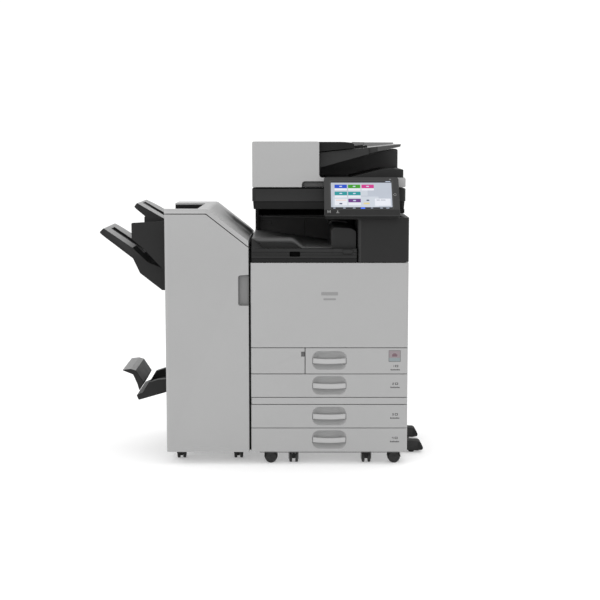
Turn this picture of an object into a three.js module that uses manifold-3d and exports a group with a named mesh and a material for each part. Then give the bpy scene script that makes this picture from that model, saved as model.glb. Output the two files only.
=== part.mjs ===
// An office photocopier with a document feeder, a two-drawer paper bank and a booklet finisher.
// Millimetres. X runs to the right, Y from the front to the back, Z up from the floor.
// Inside the copier group, X = 0 is the middle of the main cabinet and Y = 0 is its front face.
import * as THREE from 'three';
import { mergeVertices } from 'three/addons/utils/BufferGeometryUtils.js';
import Module from 'manifold-3d';

const wasm = await Module();
wasm.setup();

// ---------------------------------------------------------------- driving dimensions
const HALF_WIDTH = 293.5;        // half of the main cabinet's 587 mm width
const DEPTH = 640;               // main cabinet, front faces to back
const PANEL_REACH = 45;          // how far the operation panel stands out in front
const FOOT_END = 372;            // outer end of the stabiliser feet
const TRAY_TIP = -868;           // outer tip of the shift tray
const TOUCH = 0.3;               // gap between pieces that rest on each other
const SEAM = 2.6;                // gap between neighbouring front faces
const FRONT = 34;                // thickness of the drawer fronts
const SKIN = 4;                  // wall thickness of covers
const CORNER = 12;               // plan radius of the front corners

const SKIRT_Z = 49;              // underside of the paper bank and the finisher
const DRAWER_TOPS = [446, 347, 231, 141];    // drawers 1 to 4, from the top down
const DRAWER_BOTTOMS = [347, 258, 141, SKIRT_Z];
const BANK_TOP = 247;
const DOOR_BOTTOM = 447;
const DOOR_TOP = 764;
const SIDE_COVER_TOP = 932;
const SCANNER = { x0: -290, x1: 287, y0: 95, y1: 635, z0: 957, z1: 1034 };
const FEEDER = { x0: -289, x1: 286, y0: 98, y1: 632, z0: 1040, z1: 1210 };
const FINISHER = { x0: -612, x1: -300.5, y1: 613, z1: 963, knee: -451, slopeEnd: 845 };
const COVER_THICKNESS = 17;      // finisher top cover, along its flat part

// ---------------------------------------------------------------- colours
const FINISHES = {
  lightGrey: { color: 0xb9b9b9, roughness: 0.55, metalness: 0 },
  darkGrey: { color: 0x333333, roughness: 0.5, metalness: 0 },
  black: { color: 0x191919, roughness: 0.6, metalness: 0 },
  midGrey: { color: 0x8d8d8d, roughness: 0.5, metalness: 0 },
  glass: { color: 0xc8d6d4, roughness: 0.1, metalness: 0 },
  rubber: { color: 0x202020, roughness: 0.8, metalness: 0 },
};

// ---------------------------------------------------------------- geometry helpers
const UP_TO_X = new THREE.Matrix4().set(0, 0, 1, 0, 1, 0, 0, 0, 0, 1, 0, 0, 0, 0, 0, 1);
const ARC_STEPS = 4;

// A closed outline from corners [x, y, radius]; a corner with a radius is rounded.
function outline(corners) {
  const shape = new THREE.Shape();
  corners.forEach(([x, y, radius = 0], i) => {
    const corner = new THREE.Vector2(x, y);
    const before = new THREE.Vector2(...corners.at(i - 1).slice(0, 2));
    const after = new THREE.Vector2(...corners[(i + 1) % corners.length].slice(0, 2));
    const back = before.sub(corner).normalize();
    const ahead = after.sub(corner).normalize();
    const reach = radius ? radius / Math.tan(Math.acos(back.dot(ahead)) / 2) : 0;
    const start = corner.clone().addScaledVector(back, reach);
    const end = corner.clone().addScaledVector(ahead, reach);
    if (i === 0) shape.moveTo(start.x, start.y);
    else shape.lineTo(start.x, start.y);
    if (radius) shape.quadraticCurveTo(x, y, end.x, end.y);
  });
  return shape;
}

function extrude(corners, depth) {
  const settings = { depth, bevelEnabled: false, curveSegments: ARC_STEPS };
  return new THREE.ExtrudeGeometry(outline(corners), settings);
}

// A geometry as a manifold solid: positions only, shared corners merged, slivers dropped.
function toSolid(geometry) {
  const bare = geometry.clone();
  bare.deleteAttribute('normal');
  bare.deleteAttribute('uv');
  const merged = mergeVertices(bare, 1e-3);
  const index = merged.getIndex().array;
  const triVerts = [];
  for (let i = 0; i < index.length; i += 3) {
    const [a, b, c] = [index[i], index[i + 1], index[i + 2]];
    if (a !== b && b !== c && c !== a) triVerts.push(a, b, c);
  }
  const vertProperties = new Float32Array(merged.getAttribute('position').array);
  const mesh = new wasm.Mesh({ numProp: 3, vertProperties, triVerts: new Uint32Array(triVerts) });
  return new wasm.Manifold(mesh);
}

function block(x0, x1, y0, y1, z0, z1) {
  const box = new THREE.BoxGeometry(x1 - x0, y1 - y0, z1 - z0);
  return toSolid(box.translate((x0 + x1) / 2, (y0 + y1) / 2, (z0 + z1) / 2));
}

// Prisms: the outline lies across the named axis and is pushed along it.
function prismX(corners, x0, x1) {
  return toSolid(extrude(corners, x1 - x0).applyMatrix4(UP_TO_X).translate(x0, 0, 0));
}

function prismY(corners, y0, y1) {
  return toSolid(extrude(corners, y1 - y0).rotateX(Math.PI / 2).translate(0, y1, 0));
}

function prismZ(corners, z0, z1) {
  return toSolid(extrude(corners, z1 - z0).translate(0, 0, z0));
}

// A cylinder along X, Y or Z about a centre point.
function rod(axis, radius, length, [x, y, z], sides = 16) {
  const cylinder = new THREE.CylinderGeometry(radius, radius, length, sides);
  if (axis === 'x') cylinder.rotateZ(Math.PI / 2);
  if (axis === 'z') cylinder.rotateX(Math.PI / 2);
  return toSolid(cylinder.translate(x, y, z));
}

const join = (first, ...rest) => rest.reduce((sum, solid) => sum.add(solid), first);
const cut = (first, ...rest) => rest.reduce((sum, solid) => sum.subtract(solid), first);

function addPiece(group, name, solid, finish, position = [0, 0, 0]) {
  const { vertProperties, triVerts } = solid.getMesh();
  const geometry = new THREE.BufferGeometry();
  geometry.setAttribute('position', new THREE.BufferAttribute(vertProperties, 3));
  geometry.setIndex(new THREE.BufferAttribute(triVerts, 1));
  geometry.computeVertexNormals();
  const mesh = new THREE.Mesh(geometry, new THREE.MeshStandardMaterial(FINISHES[finish]));
  mesh.name = name;
  mesh.position.set(...position);
  group.add(mesh);
  return mesh;
}

// A front face plate seen from above: square at the back, rounded at the front corners.
function frontPlate(x0, x1, z0, z1, thickness, leftRadius, rightRadius) {
  return prismZ([[x0, 0, leftRadius], [x1, 0, rightRadius], [x1, thickness], [x0, thickness]], z0, z1);
}

// ---------------------------------------------------------------- main cabinet
const BAY = { x0: -268, x1: 250, y1: 575 };           // room behind the drawer fronts
const FRAME_FRONT = FRONT + 2;
const ENGINE_BAY = { x0: -276, x1: 250, y1: 560, z0: 456, z1: 750 };
const COLUMN_FRONT = 500;                              // dark wall behind the exit tray
const WASTE_SEAM = -91;                                // between the waste toner cover and drawer 1
const SIDE_DOOR = { x0: 263, y0: 37, y1: 598, z0: 251, z1: 756 };

function mainFrame() {
  const top = DOOR_TOP - 4;
  const cabinet = join(
    block(-289, 262, FRAME_FRONT, 628, BANK_TOP + TOUCH, top),
    block(-277, 262, COLUMN_FRONT, 628, top - 1, SCANNER.z0 - TOUCH),
    block(112, 262, 30, 628, top - 1, SIDE_COVER_TOP - 2),
    block(112, 262, 130, 628, SIDE_COVER_TOP - 3, SCANNER.z0 - TOUCH),
  );
  const bays = [0, 1].map((i) => block(
    i ? BAY.x0 : WASTE_SEAM + 3, BAY.x1, 0, BAY.y1, DRAWER_BOTTOMS[i] + 5, DRAWER_TOPS[i] - 8));
  const wasteBay = block(BAY.x0, WASTE_SEAM - 6, 0, 400, DRAWER_BOTTOMS[0] + 5, DRAWER_TOPS[0] - 8);
  const engineBay = block(ENGINE_BAY.x0, ENGINE_BAY.x1, 0, ENGINE_BAY.y1, ENGINE_BAY.z0, ENGINE_BAY.z1);
  return cut(cabinet, ...bays, wasteBay, engineBay);
}

function rearCover() {
  const plate = block(-HALF_WIDTH, HALF_WIDTH, 628 + TOUCH, DEPTH, BANK_TOP + 3, SCANNER.z0 - 2);
  const slots = [];
  for (let row = 0; row < 7; row += 1) {
    const z = 620 + row * 18;
    slots.push(block(60, 240, 620, 650, z, z + 7));
  }
  const inlet = block(-262, -214, 631, 650, 290, 322);
  const pins = [-250, -238, -226].map((x) => block(x - 1.5, x + 1.5, 630, 638, 302, 310));
  const corner = block(SIDE_DOOR.x0, HALF_WIDTH, SIDE_DOOR.y1 + 2, 629, BANK_TOP + 3, DOOR_TOP);
  return join(cut(plate, ...slots, inlet), corner, ...pins);
}

function rightUpperCover() {
  const plan = [
    [104, 0, 10], [HALF_WIDTH, 0, CORNER], [HALF_WIDTH, 628], [268, 628], [268, 26], [109, 26], [109, 495],
    [104, 495],
  ];
  return prismZ(plan, DOOR_TOP + SEAM, SIDE_COVER_TOP);
}

// The in-body tray: a grooved front rail, a sunk curved paper bed and the raised bridge block.
function exitTray() {
  const z0 = DOOR_TOP + SEAM;
  const bed = prismY([
    [-291, z0], [103, z0], [103, 812], [-75, 819, 30], [-105, 852, 30], [-291, 854],
  ], 38, COLUMN_FRONT - 1);
  const rail = prismZ([[-291, 0, CORNER], [101.5, 0, 4], [101.5, 40], [-291, 40]], z0, 816);
  const cornerRise = prismX([[6, z0], [40, z0], [40, 853], [26, 853, 10]], -291, -250);
  const bridgeBlock = prismY([
    [7, 812], [98, 812], [98, 876, 12], [60, 893, 20], [12, 890, 8], [7, 880],
  ], 20, 330);
  const exitMouth = prismY([[30, 822], [98, 822], [98, 858, 8], [40, 868, 12]], 160, 340);
  const gripRecess = block(-148, -104, -5, 14, 785, 803);
  return cut(join(bed, rail, cornerRise, bridgeBlock), exitMouth, gripRecess);
}

function buildMainCabinet(group) {
  const leftCover = block(-HALF_WIDTH, -289.3, FRONT + 2, 628, BANK_TOP + 3, DOOR_TOP);
  addPiece(group, 'main_frame', mainFrame(), 'darkGrey');
  addPiece(group, 'left_cover', leftCover, 'lightGrey');
  addPiece(group, 'rear_cover', rearCover(), 'lightGrey');
  addPiece(group, 'right_upper_cover', rightUpperCover(), 'darkGrey');
  addPiece(group, 'exit_tray', exitTray(), 'darkGrey');
  buildPrintEngine(group);
  buildFrontDoor(group);
  buildWasteTonerCover(group);
  buildSideDoor(group);
}

// Four photoconductor drums under the transfer belt in one pull-out rack, and the fuser beside them.
function buildPrintEngine(group) {
  const rack = block(-240, 150, 70, 540, 470, 560);
  const drums = [-190, -95, 0, 95].map((x) => rod('y', 30, 440, [x, 305, 560]));
  const belt = prismY([[-235, 596, 14], [140, 596, 14], [140, 630, 14], [-235, 630, 14]], 90, 520);
  const posts = [-236, 134].map((x) => block(x, x + 8, 100, 510, 555, 610));
  addPiece(group, 'imaging_unit', join(rack, ...drums, ...posts, belt), 'black');
  const housing = prismY([[176, 600, 8], [244, 600, 8], [244, 720, 12], [176, 720, 12]], 80, 530);
  const slot = block(208, 212, 60, 550, 590, 730);
  const rollers = [192, 228].map((x) => rod('y', 13, 460, [x, 305, 660]));
  const bridge = block(178, 242, 80, 100, 601, 719);
  addPiece(group, 'fuser_unit', join(cut(housing, slot), ...rollers, bridge), 'midGrey');
}

function buildFrontDoor(group) {
  const depth = 27;
  const plate = frontPlate(-HALF_WIDTH, HALF_WIDTH, DOOR_BOTTOM, DOOR_TOP, depth, CORNER, CORNER);
  const hollow = block(-268, 268, 5, depth + 1, DOOR_BOTTOM + 14, DOOR_TOP - 14);
  addPiece(group, 'front_door', cut(plate, hollow), 'lightGrey');
}

function buildWasteTonerCover(group) {
  const z0 = DRAWER_BOTTOMS[0] + SEAM / 2;
  const z1 = DRAWER_TOPS[0] - SEAM / 2;
  const plate = frontPlate(-HALF_WIDTH, WASTE_SEAM - SEAM / 2, z0, z1, 26, CORNER, 1.5);
  const latchRecess = block(-107, -80, -5, 6, 411, 426);
  addPiece(group, 'waste_toner_cover', cut(plate, latchRecess), 'lightGrey');
}

function buildSideDoor(group) {
  const { x0, y0, y1, z0, z1 } = SIDE_DOOR;
  const plate = block(x0, HALF_WIDTH, y0, y1, z0, z1);
  const bypassRecess = block(274, 300, 96, 484, 459, 662);
  addPiece(group, 'right_door', cut(plate, bypassRecess), 'lightGrey');
  const tray = prismX([[100, 466, 2], [480, 466, 2], [480, 658, 14], [100, 658, 14]], 277, 290);
  const grip = block(286, 300, 255, 325, 634, 650);
  addPiece(group, 'bypass_tray', cut(tray, grip), 'lightGrey');
}

// ---------------------------------------------------------------- paper drawers and bank
const POCKET = { bottoms: [362.5, 268, 151, 61], half: 64.5, height: 71, depth: 28, corner: 24 };
const GRIP = { rise: 24, height: 19, y0: 3, y1: 14 };

function drawer(index) {
  const x0 = index === 0 ? WASTE_SEAM + SEAM / 2 : -HALF_WIDTH;
  const boxX0 = index === 0 ? WASTE_SEAM + 8 : BAY.x0 + 6;
  const z0 = DRAWER_BOTTOMS[index] + SEAM / 2;
  const z1 = DRAWER_TOPS[index] - SEAM / 2;
  const front = frontPlate(x0, HALF_WIDTH, z0, z1, FRONT, index === 0 ? 1.5 : CORNER, CORNER);
  const p0 = POCKET.bottoms[index];
  const pocket = prismY([
    [-POCKET.half, p0, POCKET.corner], [POCKET.half, p0, POCKET.corner],
    [POCKET.half, p0 + POCKET.height, POCKET.corner], [-POCKET.half, p0 + POCKET.height, POCKET.corner],
  ], -2, POCKET.depth);
  const box = block(boxX0, BAY.x1 - 6, FRONT - 2, BAY.y1 - 10, z0 + 8, z1 - 20);
  const inside = block(boxX0 + 3, BAY.x1 - 9, FRONT + 2, BAY.y1 - 13, z0 + 12, z1);
  return cut(join(front, box), pocket, inside);
}

function drawerGrip(index) {
  const z0 = POCKET.bottoms[index] + GRIP.rise;
  const z1 = z0 + GRIP.height;
  const half = POCKET.half - TOUCH;
  return prismX([[GRIP.y0, z0, 3], [GRIP.y1, z0, 3], [GRIP.y1, z1, 3], [GRIP.y0, z1, 3]], -half, half);
}

function bankFrame() {
  const shell = join(
    block(-HALF_WIDTH, HALF_WIDTH, FRAME_FRONT, DEPTH, SKIRT_Z, BANK_TOP),
    frontPlate(-HALF_WIDTH, HALF_WIDTH, DRAWER_TOPS[2] + SEAM / 2, BANK_TOP, FRAME_FRONT + 2, CORNER, CORNER),
    frontPlate(-HALF_WIDTH, HALF_WIDTH, BANK_TOP - 1, DRAWER_BOTTOMS[1] - SEAM / 2, FRONT, CORNER, CORNER),
  );
  const bays = [2, 3].map((i) => block(
    BAY.x0, BAY.x1, 0, BAY.y1, DRAWER_BOTTOMS[i] + 5 + (i === 3 ? 4 : 0), DRAWER_TOPS[i] - 8));
  const brackets = SUPPORT_WHEELS.map(([x]) => join(
    block(x - 20, x - 17.5, SUPPORT_Y - 14, SUPPORT_Y + 14, 14, SKIRT_Z + 1),
    block(x + 17.5, x + 20, SUPPORT_Y - 14, SUPPORT_Y + 14, 14, SKIRT_Z + 1),
  ));
  return cut(join(shell, ...brackets), ...bays);
}

const SUPPORT_Y = 48;
const SUPPORT_WHEELS = [[-134, 'support_wheel_left'], [141, 'support_wheel_right']];

const FOOT_HALF = 24;             // half of a foot's depth
const FOOT_PAD = { x: 327, radius: 11, height: 13 };

function stabiliserFoot() {
  const inner = HALF_WIDTH + TOUCH;
  const body = prismY([
    [inner, 12], [350, 8, 6], [FOOT_END - 2, 12], [FOOT_END, 20], [358, 46, 8], [inner, 48],
  ], -FOOT_HALF, FOOT_HALF);
  const pad = rod('z', FOOT_PAD.radius, FOOT_PAD.height, [FOOT_PAD.x, 0, FOOT_PAD.height / 2], 14);
  return join(body, pad);
}

function buildBank(group) {
  for (let index = 0; index < 4; index += 1) {
    addPiece(group, `paper_drawer_${index + 1}`, drawer(index), 'lightGrey');
    addPiece(group, `drawer_grip_${index + 1}`, drawerGrip(index), 'lightGrey');
  }
  addPiece(group, 'bank_frame', bankFrame(), 'lightGrey');
  addPiece(group, 'stabiliser_foot_front', stabiliserFoot(), 'black', [0, 217, 0]);
  addPiece(group, 'stabiliser_foot_rear', stabiliserFoot(), 'black', [0, 455, 0]);
}

// ---------------------------------------------------------------- casters
const WHEEL_RADIUS = 22;
const WHEEL_HALF = 17;            // half the width over both discs
const WEB_HALF = 5;               // half the fork web between the discs
const HUB_RADIUS = 7;
const TRAIL = 16;                 // wheel axis behind the swivel axis
const HOOD = { inner: 23.2, outer: 25.6 };

// Two discs on one hub, turning about local X.
function twinWheel() {
  const profile = [
    [0, -WHEEL_HALF], [WHEEL_RADIUS - 2, -WHEEL_HALF], [WHEEL_RADIUS, -WHEEL_HALF + 2],
    [WHEEL_RADIUS, -WEB_HALF - 1], [HUB_RADIUS, -WEB_HALF - 1], [HUB_RADIUS, WEB_HALF + 1],
    [WHEEL_RADIUS, WEB_HALF + 1], [WHEEL_RADIUS, WHEEL_HALF - 2], [WHEEL_RADIUS - 2, WHEEL_HALF],
    [0, WHEEL_HALF],
  ].map(([radius, along]) => new THREE.Vector2(radius, along));
  return toSolid(new THREE.LatheGeometry(profile, 14).rotateZ(-Math.PI / 2));
}

// A hooded fork about local X, its swivel axis a trail's length in front of the wheel.
function casterFork() {
  const ring = cut(
    rod('x', HOOD.outer, 2 * WHEEL_HALF + 1, [0, 0, 0], 20),
    rod('x', HOOD.inner, 2 * WHEEL_HALF + 4, [0, 0, 0], 20),
    block(-30, 30, -40, 40, -40, 2),
  );
  const web = cut(
    rod('x', HOOD.inner + 1, 2 * WEB_HALF, [0, 0, 0], 20),
    rod('x', HUB_RADIUS + 0.5, 40, [0, 0, 0], 20),
    block(-30, 30, -HUB_RADIUS - 0.5, HUB_RADIUS + 0.5, -40, 0),
    block(-30, 30, -40, 40, -40, -9),
  );
  const shroud = cut(
    join(
      block(-12, 12, -TRAIL - 9, -6, 6, 26),
      rod('z', 9, 18, [0, -TRAIL, SKIRT_Z - TOUCH - WHEEL_RADIUS - 9], 14),
    ),
    rod('x', HOOD.inner, 60, [0, 0, 0], 20),
  );
  return join(ring, web, shroud);
}

// Casters: name, X and Y of the swivel stem, and the turn that points the wheel away from it.
const TURN = { back: 0, right: -Math.PI / 2 };
const CASTERS = [
  ['bank_front_left', -236, 46, TURN.right],
  ['bank_front_right', 230, 46, TURN.right],
  ['bank_rear_left', -236, 575, TURN.back],
  ['bank_rear_right', 236, 575, TURN.back],
  ['finisher_front_left', -565, 100, TURN.back],
  ['finisher_front_right', -346, 100, TURN.back],
  ['finisher_rear_left', -565, 540, TURN.back],
  ['finisher_rear_right', -346, 540, TURN.back],
];

function buildCasters(group) {
  for (const [name, x, y, turn] of CASTERS) {
    const caster = new THREE.Group();
    caster.position.set(x - TRAIL * Math.sin(turn), y + TRAIL * Math.cos(turn), WHEEL_RADIUS);
    caster.rotation.z = turn;
    addPiece(caster, `${name}_fork`, casterFork(), 'black');
    addPiece(caster, `${name}_wheel`, twinWheel(), 'rubber');
    group.add(caster);
  }
  for (const [x, name] of SUPPORT_WHEELS) {
    addPiece(group, name, twinWheel(), 'rubber', [x, SUPPORT_Y, WHEEL_RADIUS]);
  }
}

// ---------------------------------------------------------------- scanner and operation panel
const GLASS = { x0: -215, x1: 245, y0: 150, y1: 470, thickness: 4 };

function scannerUnit() {
  const { x0, x1, y0, y1, z0, z1 } = SCANNER;
  const upper = prismZ([[x0, y0, 14], [x1, y0, 14], [x1, y1], [x0, y1]], z0 + 21, z1);
  const lower = prismZ([[x0 + 4, y0 + 5, 12], [x1 - 4, y0 + 5, 12], [x1 - 4, y1], [x0 + 4, y1]], z0, z0 + 22);
  const rightRim = block(112, x1 - 4, y0 + 5, 29 + y0, z0 - 16, z0 + 1);
  const well = block(GLASS.x0 + 8, GLASS.x1 - 8, GLASS.y0 + 8, GLASS.y1 - 8, z0 + 10, z1 + 5);
  const ledge = block(GLASS.x0, GLASS.x1, GLASS.y0, GLASS.y1, z1 - GLASS.thickness, z1 + 5);
  return join(cut(join(upper, lower), well, ledge), rightRim, panelArm());
}

// The bracket that carries the operation panel in front of the scanner.
const PANEL = { x0: -21, x1: 257, length: 185.5, thickness: 19, lean: 42, footY: -PANEL_REACH, footZ: 940 };
const PANEL_HINGE = { y: 22, z: 962, radius: 9 };

function panelArm() {
  const { y, z, radius } = PANEL_HINGE;
  const beam = prismX([[y, z - 7], [SCANNER.y0 + 8, z], [SCANNER.y0 + 8, z + 26], [y, z + 7]], 92, 144);
  return join(beam, rod('x', radius, 52, [118, y, z]));
}

// The panel is modelled upright with its front face at local Y = 0, then leaned back.
function buildPanel(group) {
  const { x0, x1, length, thickness, lean, footY, footZ } = PANEL;
  const body = prismY([[x0, 0, 9], [x1, 0, 9], [x1, length, 9], [x0, length, 9]], 0, thickness);
  const angle = THREE.MathUtils.degToRad(-lean);
  const tilt = new THREE.Matrix4().makeRotationX(angle).setPosition(0, footY, footZ);
  const leaned = body.transform(tilt.elements);
  const { y, z, radius } = PANEL_HINGE;
  const ears = [74, 144.5].map((x) => join(
    rod('x', radius, 17, [x + 8.5, y, z]),
    prismX([[y - 7, z - 5], [y + 6, z + 6], [y - 4, z + 24], [y - 22, z + 6]], x, x + 17),
  ));
  addPiece(group, 'operation_panel', join(leaned, ...ears), 'black');
}

function buildScanner(group) {
  addPiece(group, 'scanner_unit', scannerUnit(), 'darkGrey');
  const { x0, x1, y0, y1, thickness } = GLASS;
  const paneZ = SCANNER.z1 - thickness + TOUCH;
  const pane = block(x0 + TOUCH, x1 - TOUCH, y0 + TOUCH, y1 - TOUCH, paneZ, SCANNER.z1);
  addPiece(group, 'platen_glass', pane, 'glass');
  const carriage = join(
    block(-200, -150, y0 + 14, y1 - 14, SCANNER.z0 + 11, SCANNER.z0 + 40),
    block(-190, -160, y0 + 20, y1 - 20, SCANNER.z0 + 39, SCANNER.z0 + 56),
  );
  addPiece(group, 'scan_carriage', carriage, 'black');
  buildPanel(group);
}

// ---------------------------------------------------------------- document feeder
const FEED_SPLIT = -38;           // right end of the tall feed unit
const TRAY_SEAM = 150;            // between the document tray and its end flap
const LID_TOP = 1075;             // top of the low light band
const UNIT_TOP = 1118;            // where the feed unit's cover lifts off
const COVER_DEPTH = 34;           // feeder front cover, front to back

function feederBase() {
  const { x0, x1, y0, y1, z0 } = FEEDER;
  const [left, right, wallRight] = [x0 + 5, x1 - 8, x1 - 5];
  const lid = prismY([
    [left, z0], [right, z0], [right, 1106, 4], [207, 1108, 20], [75, LID_TOP, 20], [-42, LID_TOP],
    [-42, UNIT_TOP], [left, UNIT_TOP],
  ], y0 + COVER_DEPTH, y1 - 12);
  const backWall = prismY([
    [-37, LID_TOP - 5], [wallRight, LID_TOP - 5], [wallRight, 1183, 8],
    [TRAY_SEAM, TRAY_LOW - TOUCH], [-37, 1147.4],
  ], 440, y1 - 12);
  return join(lid, backWall);
}

function feederFrontCover() {
  const { x0, x1, y0, z0, z1 } = FEEDER;
  const face = prismY([
    [x0, z0, 3], [x1, z0, 3], [x1, LID_TOP, 5], [FEED_SPLIT, LID_TOP, 13], [FEED_SPLIT, z1, 5], [x0, z1, 5],
  ], y0, y0 + COVER_DEPTH - TOUCH);
  const grip = block(-103, 60, y0 - 5, y0 + 20, z0 - 5, z0 + 22);
  return cut(face, grip);
}

function feedCover() {
  const { x0, y0, y1, z1 } = FEEDER;
  const z0 = UNIT_TOP + TOUCH;
  const [front, back] = [y0 + COVER_DEPTH, y1 - 12];
  const shell = prismY([[x0, z0], [FEED_SPLIT, z0], [FEED_SPLIT, z1, 5], [x0, z1, 5]], front, back);
  const hollow = block(x0 + SKIN, FEED_SPLIT - SKIN, front + SKIN, back - SKIN, z0 - 10, z1 - SKIN);
  return cut(shell, hollow);
}

const TRAY_SLOPE = 32 / 303;
const TRAY_LOW = 1163;            // underside of the document tray where its flap begins
const trayTopAt = (x) => 1169 + (x + 30) * TRAY_SLOPE;

function documentTray() {
  const bed = prismY([
    [-34, 1148], [TRAY_SEAM, TRAY_LOW], [TRAY_SEAM, trayTopAt(TRAY_SEAM)], [-34, trayTopAt(-34)],
  ], 150, 600);
  const frontApron = prismY([[-34, 1111], [TRAY_SEAM, TRAY_LOW], [TRAY_SEAM, 1166], [-34, 1152]], 150, 176);
  return join(bed, frontApron);
}

function buildFeeder(group) {
  const { y0, y1, z1 } = FEEDER;
  addPiece(group, 'feeder_base', feederBase(), 'darkGrey');
  addPiece(group, 'feeder_front_cover', feederFrontCover(), 'lightGrey');
  addPiece(group, 'feed_cover', feedCover(), 'lightGrey');
  const [hoodLeft, hoodTop] = [FEED_SPLIT + TOUCH, z1 - 1.5];
  const pickup = prismY([
    [hoodLeft, 1173], [95, 1193, 2], [95, 1204, 3], [78, hoodTop, 12], [hoodLeft, hoodTop],
  ], y0 + 36, y1 - 14);
  addPiece(group, 'pickup_cover', pickup, 'darkGrey');
  addPiece(group, 'document_tray', documentTray(), 'darkGrey');
  const [flapStart, flapEnd] = [TRAY_SEAM + 1, 273];
  const flap = prismY([
    [flapStart, TRAY_LOW + 0.5], [flapEnd - 3, 1190.5, 2], [flapEnd, trayTopAt(flapEnd), 1],
    [flapStart, trayTopAt(flapStart)],
  ], 165, 585);
  addPiece(group, 'document_tray_flap', flap, 'midGrey');
  const [low, high] = [98, 146].map(trayTopAt);
  const guide = prismY([[98, low + TOUCH], [146, high + TOUCH], [146, high + 9], [98, low + 9]], 0, 8);
  addPiece(group, 'document_guide_front', guide, 'black', [0, 190, 0]);
  addPiece(group, 'document_guide_rear', guide, 'black', [0, 552, 0]);
}

// ---------------------------------------------------------------- finisher
const DOOR_DEPTH = 22;
const TROUGH = { x1: -490, y0: 30, y1: 450, floor: 934 };

// The finisher seen from the front, pulled in by an inset under the top cover.
function finisherOutline(x0, x1, inset) {
  const { z1, knee, slopeEnd } = FINISHER;
  const slope = Math.atan2(z1 - slopeEnd, FINISHER.x1 - knee);
  const kneeX = knee - inset * Math.tan(slope / 2);
  const endZ = z1 - inset - (x1 - kneeX) * Math.tan(slope);
  return [[x0, SKIRT_Z], [x1, SKIRT_Z], [x1, endZ], [kneeX, z1 - inset, 12], [x0, z1 - inset]];
}

function finisherFrame() {
  const side = finisherOutline(FINISHER.x0 + 2, FINISHER.x1 - 1, COVER_THICKNESS + TOUCH);
  const shell = prismY(side, DOOR_DEPTH + 2, FINISHER.y1);
  const docking = block(FINISHER.x1 - 2, -HALF_WIDTH - 0.6, 40, 600, SKIRT_Z + 6, 800);
  const bay = block(-590, -330, 0, 560, 110, 800);
  const troughRoom = block(-620, TROUGH.x1 + 4, TROUGH.y0 - 4, TROUGH.y1 + 4, TROUGH.floor - 6, 970);
  return cut(join(shell, docking), bay, troughRoom);
}

function finisherDoor() {
  const { x0, x1 } = FINISHER;
  const face = prismY(finisherOutline(x0, x1, COVER_THICKNESS + 3), 0, DOOR_DEPTH);
  const corners = frontPlate(x0, x1, 0, 1000, DOOR_DEPTH, 12, 4);
  const pocket = prismY([[-339, 604, 8], [-290, 604], [-290, 719], [-339, 719, 8]], -5, 16);
  return cut(face.intersect(corners), pocket);
}

function finisherTopCover() {
  const { x0, x1, y1, z1 } = FINISHER;
  const body = cut(
    prismY(finisherOutline(x0, x1, 0), 0, y1),
    prismY(finisherOutline(x0 - 50, x1 + 50, COVER_THICKNESS), -10, y1 + 10),
  );
  const pan = block(x0, TROUGH.x1 + 3, TROUGH.y0 - 3, TROUGH.y1 + 3, TROUGH.floor - 5, z1 - 1);
  const trough = block(x0 - 10, TROUGH.x1, TROUGH.y0, TROUGH.y1, TROUGH.floor, z1 + 10);
  return cut(join(body, pan), trough);
}

// A fence in front of and behind the shift tray, joined by a web along the finisher's side.
function exitGuard() {
  const x1 = FINISHER.x0 - TOUCH;
  const fence = [[-740, 849], [-695, 811], [x1, 722], [x1, 916], [-740, 908, 3]];
  return join(
    prismY(fence, 60, 68),
    prismY(fence, 472, 480),
    block(-617, x1, 60, 480, 860, 872),
  );
}

function proofTray() {
  const x1 = FINISHER.x0 - TOUCH;
  const tray = prismY([
    [x1, 903], [-690, 906], [-694, 932], [-735.5, 966, 3], [-723, 981, 3], [x1, 917],
  ], 100, 440);
  const slot = prismY([[-715, 972], [-640, 926], [-640, 960], [-715, 1000]], 240, 300);
  return cut(tray, slot);
}

function shiftTray() {
  const x1 = FINISHER.x0 - 2;
  const tray = prismY([
    [x1, 651], [-632, 651, 6], [-715, 716, 8], [-741, 772, 8], [TRAY_TIP, 870], [-850, 886, 3], [x1, 728],
  ], 100, 440);
  const slot = prismY([[-835, 868], [-700, 777], [-700, 830], [-835, 920]], 235, 305);
  return cut(tray, slot);
}

function buildTrays(group) {
  addPiece(group, 'exit_guard', exitGuard(), 'darkGrey');
  addPiece(group, 'proof_tray', proofTray(), 'midGrey');
  addPiece(group, 'shift_tray', shiftTray(), 'midGrey');
  const x1 = FINISHER.x0 - TOUCH;
  const basket = prismY([
    [x1, 258], [-730, 224, 4], [-738, 243, 2], [-713, 254], [-690, 292, 6], [-656, 303, 10], [x1, 307],
  ], 120, 400);
  const well = prismY([[-616, 330], [-616, 284], [-705, 255], [-690, 330]], 150, 370);
  addPiece(group, 'booklet_tray', cut(basket, well), 'darkGrey');
  const flap = prismY([
    [-727, 259, 2], [-709, 292, 2], [-739.5, 339, 4], [-759, 345, 4],
    [-797, 341, 2], [-751, 323, 4], [-744, 308, 4], [-734, 284, 3],
  ], 124, 396);
  addPiece(group, 'booklet_flap', flap, 'darkGrey');
}

function buildFinisher(group) {
  addPiece(group, 'finisher_frame', finisherFrame(), 'lightGrey');
  addPiece(group, 'finisher_door', finisherDoor(), 'lightGrey');
  addPiece(group, 'finisher_top_cover', finisherTopCover(), 'lightGrey');
  buildTrays(group);
}

// ---------------------------------------------------------------- assembly
// The copier group is shifted so that the origin is under the middle of the whole object.
const copier = new THREE.Group();
copier.position.set(-(FOOT_END + TRAY_TIP) / 2, -(DEPTH - PANEL_REACH) / 2, 0);

const sections = [buildMainCabinet, buildBank, buildCasters, buildScanner, buildFeeder, buildFinisher];
for (const build of sections) {
  const section = new THREE.Group();
  build(section);
  copier.add(section);
}

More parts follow.
